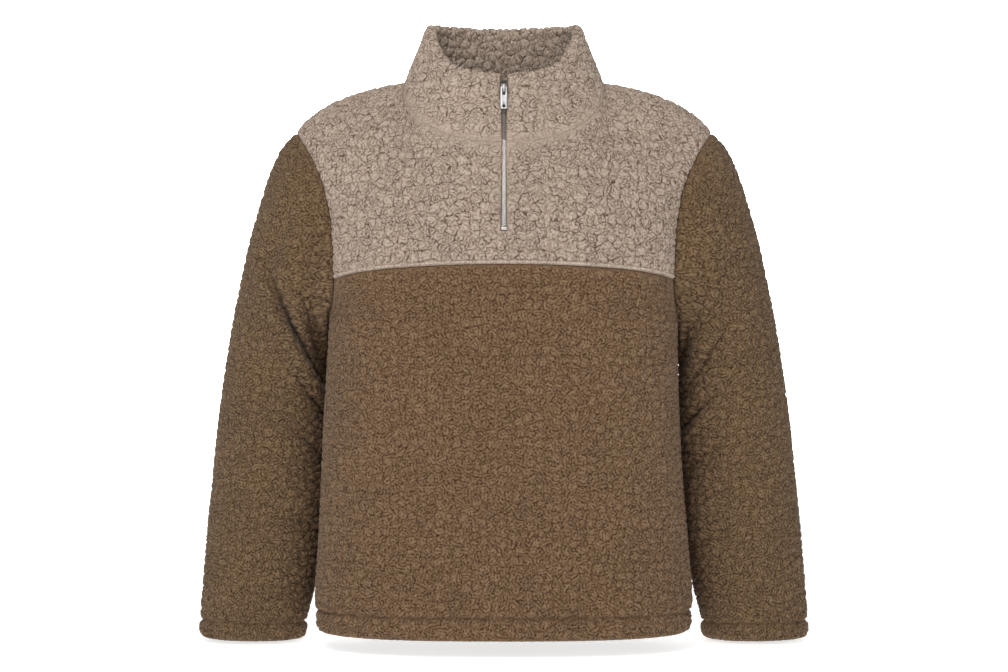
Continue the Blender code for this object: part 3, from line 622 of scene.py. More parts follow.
def metal(name, colour, roughness):
    """Cast metal with slightly uneven polish."""
    made, tree, shader, place = new_material(name)
    rough = sums(tree, "MULTIPLY_ADD", noise(tree, place, 6.0, 3.0), 0.2, roughness - 0.1)
    tree.links.new(rough, shader.inputs["Roughness"])
    cloud = noise(tree, place, 2.0, 2.0, shift=3.0)
    shown = blended(tree, cloud, (0.3, [0.8 * c for c in colour]), (0.7, colour))
    tree.links.new(shown, shader.inputs["Base Color"])
    bumped(tree, shader, noise(tree, place, 0.5, 2.0), 0.04, 0.4)
    set_values(shader, ("Metallic", 1.0))
    return made


def new_object(name, points, faces, colour, press=None, cloth=None):
    """faces is a list of arrays, each with one row a face. press and cloth are values that the
    cloth's material reads: how flat the pile is pressed, and the place along the cloth."""
    mesh = bpy.data.meshes.new(name)
    mesh.vertices.add(len(points))
    mesh.vertices.foreach_set("co", (points * METRES).astype(np.float32).ravel())
    sizes = np.concatenate([np.full(len(f), f.shape[1]) for f in faces])
    corners = np.concatenate([f.ravel() for f in faces]).astype(np.int32)
    mesh.loops.add(len(corners))
    mesh.loops.foreach_set("vertex_index", corners)
    mesh.polygons.add(len(sizes))
    starts = np.concatenate([[0], np.cumsum(sizes)[:-1]]).astype(np.int32)
    mesh.polygons.foreach_set("loop_start", starts)
    mesh.update(calc_edges=True)
    mesh.validate()
    mesh.polygons.foreach_set("use_smooth", np.ones(len(mesh.polygons), bool))
    mesh.materials.append(colour)
    held = (("press", "FLOAT", "value", press), ("cloth", "FLOAT_VECTOR", "vector", cloth))
    for attribute, kind, key, values in held:
        if values is not None:
            made = mesh.attributes.new(attribute, kind, "POINT")
            made.data.foreach_set(key, np.asarray(values, np.float32).ravel())
    return linked(name, mesh)


def grid_faces(rows, count, wraps=False, keep=None):
    """The faces of a grid, in rows and then columns. keep(rows, columns) may leave some out."""
    i, j = np.meshgrid(np.arange(rows - 1), np.arange(count if wraps else count - 1), indexing="ij")
    k = (j + 1) % count
    faces = np.stack([i * count + j, i * count + k, (i + 1) * count + k, (i + 1) * count + j], -1)
    if keep is not None:
        return faces[keep(i, j)]
    return faces.reshape(-1, 4)


def rim_loops(faces, count):
    """The open edges of some quads, as closed runs of points."""
    a = faces.ravel()
    b = np.roll(faces, -1, axis=1).ravel()
    there, back = a * count + b, b * count + a
    alone = ~np.isin(there, back)
    following = dict(zip(a[alone].tolist(), b[alone].tolist()))
    loops = []
    while following:
        start, point = following.popitem()
        run = [start]
        while point != start:
            run.append(point)
            point = following.pop(point)
        loops.append(run)
    return loops


def joined_rim(loops, lining_of):
    """Triangles between the outer layer's edge and the coarser lining's edge."""
    faces = []
    for run in loops:
        marks = [n for n, point in enumerate(run) if point in lining_of]
        run = run[marks[0]:] + run[: marks[0]]
        marks = [n - marks[0] for n in marks] + [len(run)]
        for low, high in zip(marks, marks[1:]):
            here, there = lining_of[run[low]], lining_of[run[high % len(run)]]
            middle = (low + high) // 2
            for n in range(low, high):
                a, b = run[n], run[(n + 1) % len(run)]
                faces.append((b, a, here if n < middle else there))
            faces.append((run[middle], here, there))
    return np.array(faces)


def run_along(line):
    """How far each point of a line lies from its first one."""
    return np.concatenate([[0], np.cumsum(np.linalg.norm(np.diff(line, axis=0), axis=1))])


def even_places(curve, places, count, fixed=()):
    """'count' places whose points lie evenly along a curve, with the fixed ones among them."""
    run = run_along(curve)
    found = np.interp(np.linspace(0, run[-1], count), run, places)
    for place in fixed:
        found[np.argmin(np.abs(found - place))] = place
    return found


def run_up(grid):
    """How far each point of a grid lies along its column from the first row."""
    steps = np.linalg.norm(np.diff(grid, axis=0), axis=-1)
    return np.concatenate([np.zeros((1, grid.shape[1])), np.cumsum(steps, axis=0)])


def run_across(grid):
    """How far each point of a grid lies along its row from the first column."""
    return run_up(grid.transpose(1, 0, 2)).T


def edge_distances(grid):
    """How far each point of a grid lies from its first and last rows and columns."""
    up, across = run_up(grid), run_across(grid)
    return up, up[-1] - up, across, across[:, -1:] - across


def rolled(distance, reach):
    """How far an edge turns in: 'reach' at the edge itself, none further in than that."""
    inside = np.clip(1 - distance / reach, 0, 1)
    return reach * (1 - np.sqrt(1 - inside**2))


def near(distance, width):
    """1 at a distance of 0, fading over 'width'."""
    return np.exp(-((distance / width) ** 2))


# How far the pile stands out from a panel's surface, and what pressing takes from it
PILE_LOW = -0.7
PILE_RISE = 2.9
PRESSED_DEPTH = 0.9
PRESSED_SHARE = 0.9
LINING_PRESS = 0.6
FUZZ = 0.4
SLEEVE_AXIS_IN = 64.0


def from_middle(across):
    """Runs along rows, counted from the middle column instead of the first."""
    return across - across[:, across.shape[1] // 2][:, None]


def placed(across, up, start):
    """A place for each point from its width and its length. 'start' sets panels apart."""
    return np.stack([across + start, up + start, up * 0], -1).reshape(-1, 3)


def cloth_places(grid, start):
    """The place of each point along the cloth's width and length."""
    return placed(from_middle(run_across(grid)), run_up(grid), start)


def flat_places(grid, start):
    """The same for a panel whose rows and columns lean: its width from each row's run in plan, and
    its length from each column's run seen from the side."""
    return placed(from_middle(run_across(grid * (1, 1, 0))), run_up(grid * (0, 1, 1)), start)


def sleeve_places(side, grid, start):
    """The same for a sleeve: its width from how far each point lies round the sleeve, its length
    from how far down it is and, near the outer line, how far that line has run."""
    along = np.linspace(0, SLEEVE.rows[-1, 0], 400)
    outer_x, outer_z = SLEEVE.at("outer_x", along), SLEEVE.at("outer_z", along)
    run = np.concatenate([[0], np.cumsum(np.hypot(np.diff(outer_x), np.diff(outer_z)))])
    x, y, z = side * grid[..., 0], grid[..., 1], grid[..., 2]

    def beside(values):
        return np.interp(-z, -outer_z, values)

    turn = np.arctan2(beside(SLEEVE.at("middle_y", along)) - y, x - beside(outer_x) + SLEEVE_AXIS_IN)
    radius = (beside(SLEEVE.at("half_depth", along)) + SLEEVE_AXIS_IN) / 2
    outer = np.clip(np.cos(turn), 0, 1) ** 2
    down = -z + outer * (beside(run) - outer_z[0] + z)
    return placed(radius * turn, down, start)


def collar_places(grid, start):
    """The same for the collar: its width from the columns' mean run in plan, its length from each
    column's run and the height that it starts at."""
    across = from_middle(run_across(grid * (1, 1, 0))).mean(axis=0)
    up = run_up(grid) + grid[:1, :, 2]
    return placed(across + 0 * up, up, start)


def fuzz(cloth):
    """Small uneven tips of the pile, about 3 mm apart."""
    across, up = cloth[:, 0], cloth[:, 1]
    u = across + 1.7 * np.sin(up / 4.3)
    v = up + 1.7 * np.sin(across / 3.7)
    tips = np.sin(u * 2.1 + 0.6 * np.sin(v * 0.9)) * np.sin(v * 1.9)
    return FUZZ * (tips + 0.5 * np.sin(u * 1.3 - v * 1.1))


def pile_rise(cloth, curl, press, turned):
    """How far the pile's surface lies out from the panel's own surface at each point."""
    pile = pile_at(cloth, curl)
    pile = pile + (0.5 - pile) * press * PRESSED_SHARE
    return PILE_LOW + PILE_RISE * pile - PRESSED_DEPTH * press - turned.ravel() + fuzz(cloth)


def lumps(run, size):
    """Uneven swellings along an edge, 0 to 1, about 'size' apart."""
    turn = run * 2 * math.pi / size
    return 0.5 + 0.26 * np.sin(turn) + 0.24 * np.sin(turn * 0.61 + 1.3)


def evened(grid, weight, rounds):
    """The grid with its columns' places softened across where 'weight' is more than 0."""
    grid = grid.copy()
    half = 0.5 * weight[:, 1:-1, None]
    for _ in range(rounds):
        grid[:, 1:-1] += half * ((grid[:, :-2] + grid[:, 2:]) / 2 - grid[:, 1:-1])
    return grid


def shell(
    name, grid, cloth, walls, look, curl, press, turned, coarse, wraps=False, keep=None, lean=0.0
):
    """A cloth panel: a fine outer layer with its pile, and a plainer lining joined at the rims.

    walls, press and turned have a value for each point: the wall, how flat the pile is pressed,
    and how far the cloth turns in. lean is how far the outer layer lies towards +X there. coarse
    holds the rows and the columns that the lining has."""
    rows, count = grid.shape[:2]
    points = grid.reshape(-1, 3)
    faces = grid_faces(rows, count, wraps, keep)
    normals = corner_normals(points, faces)
    press = np.clip(press, 0, 1).ravel()
    outer = points + normals * pile_rise(cloth, curl, press, turned)[:, None]
    outer[:, 0] += np.ravel(lean)
    row_ids, column_ids = coarse
    index = row_ids[:, None] * count + column_ids[None, :]
    inner = (points - normals * walls.ravel()[:, None])[index.ravel()]

    def kept(i, j):
        return keep(row_ids[i], column_ids[j])

    inner_faces = grid_faces(len(row_ids), len(column_ids), wraps, keep and kept)
    inner_faces = inner_faces[:, ::-1] + len(outer)
    lining_of = dict(zip(index.ravel().tolist(), range(len(outer), len(outer) + index.size)))
    rim = joined_rim(rim_loops(faces, len(points)), lining_of)
    everything = np.concatenate([outer, inner])
    used = np.zeros(len(everything), bool)
    for part in (faces, inner_faces, rim):
        used[part.ravel()] = True
    place = np.cumsum(used) - 1
    parts = [place[faces], place[inner_faces], place[rim]]
    held = np.concatenate([press, np.full(len(inner), LINING_PRESS)])[used]
    cloth = np.concatenate([cloth, cloth[index.ravel()]])[used]
    return new_object(name, everything[used], parts, look, held, cloth)


def coarse_ids(count, step, must=(), wraps=False):
    """Every 'step'th row or column of a panel, with its last one and those that must be there."""
    found = np.arange(0, count, step)
    if not wraps:
        found = np.concatenate([found, [count - 1]])
    return np.unique(np.concatenate([found, must]).astype(int))


def declared(obj, node_name, body="pullover"):
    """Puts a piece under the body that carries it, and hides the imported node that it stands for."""
    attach(obj, body)
    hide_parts(node_name)


# The colours of the cloth and the metal
LIGHT_CURL = 11.5
BROWN_CURL = 10.5
EDGE_CURL = 8.0
LIGHT = fleece(
    "light fleece",
    curl=LIGHT_CURL,
    pitch=4.4,
    strengths=(0.75, 0.48, 0.65),
    dark=(0.115, 0.070, 0.044),
    middle=(0.42, 0.325, 0.255),
    light=(0.56, 0.455, 0.375),
)
BROWN = fleece(
    "brown fleece",
    curl=BROWN_CURL,
    pitch=4.0,
    strengths=(0.42, 0.70, 0.42),
    dark=(0.050, 0.024, 0.010),
    middle=(0.183, 0.110, 0.059),
    light=(0.265, 0.173, 0.102),
)
# Darker than the body's brown: painted shade for the sleeves, which hang back beside the body.
SHADED_SLEEVE_BROWN = fleece(
    "brown sleeve fleece",
    curl=BROWN_CURL,
    pitch=3.8,
    strengths=(0.40, 0.66, 0.40),
    dark=(0.040, 0.020, 0.009),
    middle=(0.157, 0.097, 0.051),
    light=(0.242, 0.158, 0.089),
)
EDGE = fleece(
    "yoke edge",
    curl=EDGE_CURL,
    pitch=3.5,
    strengths=(0.5, 0.5, 0.2),
    dark=(0.26, 0.185, 0.135),
    middle=(0.48, 0.39, 0.315),
    light=(0.61, 0.51, 0.425),
    relief=0.3,
)
TAPE = woven("zip tape", (0.86, 0.80, 0.74))
SILVER = metal("zip metal", (0.43, 0.42, 0.42), 0.42)
TEETH_SILVER = metal("zip teeth", (0.74, 0.70, 0.66), 0.5)
# The two metals in shade are darker copies of the zip metal: painted shade on the teeth up the collar
# and on the slider's plate.
SHADED_TEETH = metal("zip teeth in shade", (0.36, 0.31, 0.27), 0.6)
SHADED_SILVER = metal("zip metal in shade", (0.20, 0.175, 0.15), 0.6)

# Seams, stitch lines, hem and cuffs
STITCH_DEPTH = 2.4
STITCH_WIDTH = 2.1
SEAM_REACH = 3.0
HEM_TURN = 5.0
HEM_PUFF = 3.0
HEM_STITCH = HEM_DEPTH - 3
CUFF_STITCH = CUFF_DEPTH - 2
LUMP_SIZE = 23.0


def puff(edge_gap, stitch_at, run):
    """How far the turned-up cloth swells between its edge and its stitch line, unevenly."""
    band = np.sin(math.pi * np.clip(edge_gap / stitch_at, 0, 1))
    return HEM_PUFF * band * (0.45 + 0.75 * lumps(run, LUMP_SIZE))


def panel_places(face, rows, count, span, column, row, fixed=()):
    """A panel's columns and rows, 'count' and 'rows' of them. They lie evenly along the cloth, as
    measured up one column of it and across one row, with the fixed rows among them."""
    dense = np.linspace(*span, 600)
    up = even_places(torso(face, [column], dense)[:, 0], dense, rows, fixed)
    dense = np.linspace(-1, 1, 1201)
    return even_places(torso(face, dense, [row])[0], dense, count), up


def body_panel(face, name, rows, count, steps):
    """The front or the back of the body. 'steps' are the lining's, in rows and in columns."""
    across, up = panel_places(face, rows, count, (0, 2), column=0.5, row=0.6, fixed=(1.0,))
    grid = torso(face, across, up)
    if face > 0:
        grid = grid[:, ::-1]
    low, high, left, right = edge_distances(grid)
    side = np.minimum(left, right)
    stitch = near(low - HEM_STITCH, STITCH_WIDTH)
    press = 0.9 * near(high, 3.5) + 0.55 * near(side, 16) + 0.9 * near(side, 4) + 0.5 * stitch
    press += 0.5 * near(low, 3)
    turned = rolled(high, SEAM_REACH) * 0.5 + rolled(side, SEAM_REACH) * 0.6
    turned += rolled(low, HEM_TURN) + STITCH_DEPTH * stitch
    turned -= puff(low, HEM_STITCH, left) * ramp(side, 0, 20)
    turned -= 1.2 * near(low - HEM_DEPTH - 6, 7) * lumps(left + 40, 1.3 * LUMP_SIZE)
    walls = CLOTH + (HEM_WALL - CLOTH) * (1 - ramp(low, HEM_DEPTH - 6, HEM_STITCH))
    fold_rows = [int(np.argmax(low[:, 0] > HEM_DEPTH - inset)) for inset in (7, 2)]
    coarse = coarse_ids(rows, steps[0], fold_rows), coarse_ids(count, steps[1])
    cloth = cloth_places(grid, 500.0 * face)
    return shell(name, grid, cloth, walls, BROWN, BROWN_CURL, press, turned, coarse)


front_body = body_panel(-1, "front_body_cloth", rows=284, count=326, steps=(9, 8))
back_body = body_panel(1, "back_body_cloth", rows=214, count=250, steps=(8, 7))

# The yoke, and how the pile closes over the zip's slit: pairs of a height and a reach
NECK_SIDE_REACH = 0.13
SLIT_PLACE = math.asin(SLIT_HALF_WIDTH / NECK_HALF_WIDTH) / (math.pi / 2) * NECK_SHARE
YOKE_CLOSING = ((-212, 0.0), (-196, 0.4), (-150, 1.4), (-90, 2.5))
COLLAR_CLOSING = ((-84, 1.9), (-60, 1.2), (-38, 0.9), (-26, 0.0), (0, -1.5))
NECK_SOFTENING = 260


def slit_lean(grid, gap, half_width, closing):
    """How far the pile beside the slit leans over it, by height: closing has pairs of a height
    and a reach. The tufts reach unevenly."""
    heights, reaches = np.array(closing).T
    side = np.sign(grid[..., 0])
    reach = np.interp(grid[..., 2], heights, reaches)
    uneven = 0.72 + 0.5 * lumps(grid[..., 2] + 7 * side, 13)
    beside = np.abs(grid[..., 0]) > half_width - 0.1
    return -side * beside * reach * uneven * near(gap, 6)


def yoke_panel(face, name, rows, count, steps):
    """The front yoke, round the zip's slit, or the back yoke."""
    slit_row = (SLIT_FOOT,) if face < 0 else ()
    across, up = panel_places(face, rows, count, (2, 3), column=0.55, row=2.35, fixed=slit_row)
    slit = [int(np.argmin(np.abs(across - side * SLIT_PLACE))) for side in (-1, 1)]
    foot = int(np.argmin(np.abs(up - SLIT_FOOT)))

    def beside_slit(i, j):
        return (i < foot) | (j < slit[0]) | (j >= slit[1])

    if face < 0:
        across[slit[0]], across[slit[1]] = -SLIT_PLACE, SLIT_PLACE
    grid = torso(face, across, up)
    neck_side = near(np.abs(across) - NECK_SHARE, NECK_SIDE_REACH)
    rows_softened = ramp(3 - up, 0.0, 0.12)[:, None] * ramp(up, 2.0, 2.12)[:, None]
    grid = evened(grid, neck_side[None, :] * rows_softened, NECK_SOFTENING)
    if face > 0:
        grid = grid[:, ::-1]
        across = across[::-1]
    cloth = flat_places(grid, 1500.0 * face)
    low, high, left, right = edge_distances(grid)
    side = np.minimum(left, right)
    blend = ramp(np.abs(across), NECK_SHARE - 0.03, NECK_SHARE + 0.05)
    press = 0.7 * near(low, 4) + 0.5 * near(side, 3)
    press += 0.85 * (1 - blend) * near(high, 10)
    press += 0.5 * blend * near(high, 3)
    turned = (rolled(low, SEAM_REACH) + rolled(side, SEAM_REACH)) * 0.3
    turned += rolled(high, SEAM_REACH) * 0.3 * blend - 0.35 * near(high, 2) * (1 - blend)
    walls = np.full(low.shape, CLOTH)
    if face > 0:
        coarse = coarse_ids(rows, steps[0]), coarse_ids(count, steps[1])
        return shell(name, grid, cloth, walls, LIGHT, LIGHT_CURL, press, turned, coarse)
    beside = np.maximum(np.abs(grid[..., 0]) - SLIT_HALF_WIDTH, 0)
    under = np.maximum(grid[foot, slit[0], 2] - grid[..., 2], 0)
    gap = np.hypot(beside, under)
    press += 0.6 * near(gap, 3)
    turned += 0.5 * rolled(gap, 2.0)
    lean = slit_lean(grid, gap, SLIT_HALF_WIDTH, YOKE_CLOSING)
    coarse = coarse_ids(rows, steps[0], [foot]), coarse_ids(count, steps[1], slit)
    parts = walls, LIGHT, LIGHT_CURL, press, turned, coarse
    return shell(name, grid, cloth, *parts, keep=beside_slit, lean=lean)


front_yoke = yoke_panel(-1, "front_yoke_cloth", rows=168, count=376, steps=(8, 8))
back_yoke = yoke_panel(1, "back_yoke_cloth", rows=128, count=262, steps=(8, 8))


def armhole_seam(side, count):
    """The armhole's points, 'count' of them, evenly along the front half and the back half."""
    dense = np.linspace(1, 3, 1200)
    halves = []
    for face in (-1, 1):
        up = even_places(torso(face, [side], dense)[:, 0], dense, count // 2 + 1)
        halves.append(torso(face, [side], up)[:, 0])
    front, back = halves
    return np.concatenate([front[::-1], back[1:-1]])


# Narrow creases in the middle of the broad folds and ridges beside them, with the columns of
# SLEEVE_FOLDS
CREASES = (
    (-1, 56, 66, 142, 60, 11.0, -7.5),
    (-1, 70, 96, 130, 116, 17.0, 3.5),
    (-1, 250, 60, 300, 96, 20.0, -3.5),
    (-1, 96, 138, 188, 168, 20.0, -11.0),
    (-1, 130, 78, 180, 104, 20.0, -4.0),
    (-1, 184, 88, 240, 150, 20.0, 4.5),
    (-1, 30, 112, 140, 158, 24.0, -9.0),
    (1, 50, 120, 140, 160, 22.0, -7.5),
    (-1, 134, 68, 196, 176, 8.5, -8.0),
    (-1, 152, 58, 218, 172, 11.0, 5.5),
    (-1, 92, 96, 150, 172, 12.0, -5.0),
    (-1, 176, 92, 206, 140, 4.5, -2.2),
    (-1, 196, 84, 232, 150, 4.5, -2.4),
    (-1, 222, 104, 262, 172, 5.5, -4.0),
    (-1, 70, 84, 112, 150, 5.0, -2.6),
    (-1, 322, 128, 350, 178, 6.0, -3.4),
    (-1, 372, 96, 398, 150, 5.5, -2.0),
    (-1, 446, 118, 472, 172, 6.0, -3.0),
    (-1, 556, 60, 582, 126, 6.0, -2.4),
    (-1, 152, 300, 192, 212, 6.0, -5.0),
    (-1, 262, 282, 298, 206, 6.0, -4.5),
    (-1, 292, 252, 322, 204, 7.0, 3.0),
    (-1, 420, 275, 446, 210, 6.0, -3.0),
    (1, 46, 140, 128, 170, 11.0, -5.0),
    (1, 78, 112, 150, 168, 10.0, -2.5),
    (1, 262, 110, 292, 176, 8.0, -4.5),
    (1, 284, 112, 312, 170, 10.0, 3.5),
    (1, 178, 92, 214, 164, 9.0, -2.4),
    (1, 60, 62, 150, 84, 15.0, -3.0),
    (1, 225, 70, 262, 128, 18.0, 3.0),
    (1, 206, 100, 226, 148, 4.5, -2.2),
    (1, 342, 104, 372, 176, 6.0, -3.2),
    (1, 408, 92, 430, 142, 5.5, -2.2),
    (1, 462, 92, 494, 160, 6.5, -3.0),
    (1, 560, 62, 588, 120, 6.0, -2.4),
    (1, 162, 297, 202, 208, 6.0, -5.0),
    (1, 284, 286, 312, 204, 6.0, -4.5),
    (1, 308, 258, 338, 206, 7.0, 3.0),
    (1, 436, 272, 466, 208, 6.0, -3.0),
)


def sleeve_panel(side, name, rows, count):
    """A sleeve, its rings run from the armhole to the cuff."""
    along = np.linspace(0, SLEEVE.rows[-1, 0], rows)
    grid = sleeve(side, armhole_seam(side, count), along, SLEEVE_FOLDS + CREASES)[:, ::side]
    cloth = sleeve_places(side, grid, 2500.0 * side)
    low = run_up(grid)
    high = low[-1] - low
    stitch = near(high - CUFF_STITCH, STITCH_WIDTH)
    press = 0.4 * near(low, 3) + 0.5 * stitch + 0.4 * near(high, 3)
    turned = rolled(low, SEAM_REACH) * 0.2 + rolled(high, HEM_TURN) + STITCH_DEPTH * stitch
    turned -= puff(high, CUFF_STITCH, cloth.reshape(grid.shape)[..., 0])
    walls = CLOTH + (HEM_WALL - CLOTH) * ramp(-high, -CUFF_DEPTH + 1, -CUFF_DEPTH + 4)
    fold_rows = [int(np.argmax(high[:, 0] < CUFF_DEPTH + out)) for out in (2, -5)]
    coarse = coarse_ids(rows, 9, fold_rows), coarse_ids(count, 6, wraps=True)
    parts = walls, SHADED_SLEEVE_BROWN, BROWN_CURL, press, turned, coarse
    return shell(name, grid, cloth, *parts, wraps=True)


sleeve_right = sleeve_panel(-1, "sleeve_right_cloth", rows=400, count=180)
sleeve_left = sleeve_panel(1, "sleeve_left_cloth", rows=400, count=180)

# The collar
COLLAR_ROWS_UP = 44
COLLAR_RIM_STEPS = 10
COLLAR_COLUMNS = 372
FAR = 99.0


def collar_panel(name):
    """The doubled collar: its outside, its round rim and its inside, all fine."""
    quarter = COLLAR_COLUMNS // 4
    halves = []
    for face, first in ((-1, SLIT_PLACE), (1, 0)):
        dense = np.linspace(first, NECK_SHARE, 600)
        across = even_places(torso(face, dense, [3])[0], dense, quarter)
        halves += [torso(face, across, [3])[0], across / NECK_SHARE * 90]
    front, front_turn, back, back_turn = halves
    left = np.concatenate([front, back[::-1][1:]])
    left_turn = np.concatenate([front_turn, (180 - back_turn)[::-1][1:]])
    base = np.concatenate([left, (left * (-1, 1, 1))[::-1][1:]])
    angle = np.concatenate([left_turn, left_turn[::-1][1:]])
    count = len(base)

    # A point on the middle line belongs to the half that it was made with.
    sign = np.where(np.arange(count) < len(left), 1.0, -1.0)
    base[:, 0] = np.where(np.abs(base[:, 0]) < 1e-6, sign * 1e-6, base[:, 0])
    whole = collar(base, angle, np.linspace(0, 1, COLLAR_ROWS_UP))
    reach = run_up(whole)
    up_end = 1 - COLLAR_WALL / 2 / reach[-1].mean()
    up = np.linspace(0, up_end, COLLAR_ROWS_UP)
    outside = collar(base, angle, up)
    faces = grid_faces(*outside.shape[:2])
    out = corner_normals(outside.reshape(-1, 3), faces).reshape(outside.shape)
    rise = unit(outside[-1] - outside[-2])
    walls = CLOTH + (COLLAR_WALL - CLOTH) * ramp(run_up(outside), 1, 9)
    inside = outside - out * walls[..., None]
    middle = (outside[-1] + inside[-1]) / 2
    half = walls[-1][:, None] / 2
    turns = np.linspace(0, math.pi, COLLAR_RIM_STEPS + 2)[1:-1]
    rim = np.array([middle + half * (math.cos(t) * out[-1] + math.sin(t) * rise) for t in turns])
    profile = np.concatenate([outside, rim, inside[::-1]])
    rows = len(profile)
    faces = grid_faces(rows, count)
    points = profile.reshape(-1, 3)
    normals = corner_normals(points, faces)

    low = np.concatenate([run_up(outside), np.full((len(rim), count), FAR), run_up(inside)[::-1]])
    beyond = np.abs(profile[..., 0]) - SLIT_RIM_HALF
    at_zip = np.where(profile[..., 1] < 0, np.maximum(beyond, 0), FAR)
    press = 0.85 * near(low, 10) + 0.6 * near(at_zip, 3)
    turned = 0.5 * rolled(at_zip, 2.0) - 0.35 * near(low, 2)
    lean = slit_lean(profile, at_zip, SLIT_RIM_HALF, COLLAR_CLOSING)
    lean[COLLAR_ROWS_UP:] = 0
    press = np.clip(press, 0, 1).ravel()
    cloth = collar_places(profile, 700.0)
    points = points + normals * pile_rise(cloth, LIGHT_CURL, press, turned)[:, None]
    points[:, 0] += lean.ravel()
    last = (rows - 1) * count
    close = [(j + 1, j, last + j, last + j + 1) for j in range(count - 1)]
    caps = []
    for column, way in ((0, 1), (count - 1, -1)):
        for i in range(rows // 2):
            a, b = i * count + column, (i + 1) * count + column
            d, c = (rows - 1 - i) * count + column, (rows - 2 - i) * count + column
            if b != c:
                caps.append((a, b, c, d)[::way])
    parts = [faces, np.array(close), np.array(caps)]
    return new_object(name, points, parts, LIGHT, press, cloth)


collar_cloth = collar_panel("collar_cloth")


def from_node(name, node_name, look, bevel=0.0, smooth=True):
    """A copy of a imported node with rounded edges."""
    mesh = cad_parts[node_name].data.copy()
    made = linked(name, mesh)
    form = bmesh.new()
    form.from_mesh(mesh)
    bmesh.ops.remove_doubles(form, verts=form.verts, dist=1e-6)
    bmesh.ops.dissolve_limit(form, angle_limit=math.radians(1), verts=form.verts, edges=form.edges)
    if bevel:
        sharp = [e for e in form.edges if len(e.link_faces) == 2 and e.calc_face_angle() > 0.6]
        rounding = {"segments": 2, "profile": 0.6, "affect": "EDGES"}
        bmesh.ops.bevel(form, geom=sharp, offset=bevel * METRES, **rounding)
    bmesh.ops.triangulate(form, faces=form.faces)
    form.to_mesh(mesh)
    form.free()
    mesh.materials.clear()
    mesh.materials.append(look)
    mesh.polygons.foreach_set("use_smooth", np.full(len(mesh.polygons), smooth))
    if smooth:
        mesh.set_sharp_from_angle(angle=math.radians(40))
    return made


# The yoke's raised edges
EDGE_ROUND = 7
EDGE_STEP_ALONG = 2.5


def yoke_edge(face, name):
    """A narrow soft rib just above the yoke seam, made from the yoke's own points, moved out."""
    dense = np.linspace(-1, 1, 1600)
    line = torso(face, dense, [2.0])[0]
    run = run_along(line)
    count = int(run[-1] / EDGE_STEP_ALONG)
    places = np.interp(np.linspace(EDGE_END_GAP, run[-1] - EDGE_END_GAP, count), run, dense)
    grid = torso(face, places, [2.0, 2.004, 2.03])
    if face > 0:
        grid = grid[:, ::-1]
    normals = corner_normals(grid.reshape(-1, 3), grid_faces(3, count)).reshape(grid.shape)[0]
    up = unit(grid[2] - grid[0])
    middle = grid[0] + up * (EDGE_RISE + EDGE_WIDTH / 2)
    turns = np.linspace(0, 2 * math.pi, EDGE_ROUND + 1)[:-1]
    wave = 0.25 * np.sin(np.arange(count) * 1.9) * np.sin(np.arange(count) * 0.37 + 1)
    rings = []
    for turn in turns:
        lift = EDGE_THICK * 0.9 * math.sin(turn) + SEAM_GAP + 0.9
        across = (EDGE_WIDTH / 2 + 0.2) * math.cos(turn)
        rings.append(middle + up * across + normals * (lift + wave[:, None]))
    points = np.array(rings).transpose(1, 0, 2).reshape(-1, 3)
    faces = grid_faces(count, EDGE_ROUND, wraps=True)
    last = (count - 1) * EDGE_ROUND
    ends = [tuple(range(EDGE_ROUND))[::-1], tuple(last + n for n in range(EDGE_ROUND))]
    places = np.repeat(np.arange(count) * EDGE_STEP_ALONG, EDGE_ROUND)
    round_it = np.tile(np.arange(EDGE_ROUND) * 1.0, count)
    cloth = np.stack([places, round_it, places * 0], -1)
    return new_object(name, points, [faces[:, ::-1], np.array(ends)[:, ::-1]], EDGE, cloth=cloth)


edge_front = yoke_edge(-1, "yoke_edge_front_rib")
edge_back = yoke_edge(1, "yoke_edge_back_rib")

# The zip's teeth
TOOTH_PITCH = 2.5
TOOTH_TALL = 1.5
TOOTH_REACH = 2.7
TOOTH_OUT = 1.6
TOOTH_FIRST = 1.2
TOOTH_OVERLAP = 0.35
TEETH_SINK = 1.8
TEETH_SINK_HEIGHTS = (-120.0, -84.0)
# Teeth above this height take the darker metal: painted shade.
TEETH_SHADE_FROM = -77.0


def zip_line():
    """The middle of the front from the slit's foot to the rim, and how far along each point is."""
    yoke = torso(-1, [0], np.linspace(SLIT_FOOT, 3, 200))[:, 0]
    rise = collar(yoke[-1:], np.array([0.0]), np.linspace(0, 0.93, 80))[1:, 0]
    path = np.concatenate([yoke, rise])
    path[:, 0] = 0
    return path, run_along(path)


def on_line(path, run, at):
    """The points of a line at some distances along it."""
    return np.stack([np.interp(at, run, path[:, n]) for n in range(3)], -1)


def zip_frames(path, run, at):
    """Points of the zip's line with its up and out directions."""
    ahead, behind = np.minimum(at + 2, run[-1]), np.maximum(at - 2, 0)
    up = unit(on_line(path, run, ahead) - on_line(path, run, behind))
    out = np.stack([up[:, 0] * 0, -up[:, 2], up[:, 1]], -1)
    return on_line(path, run, at), up, out


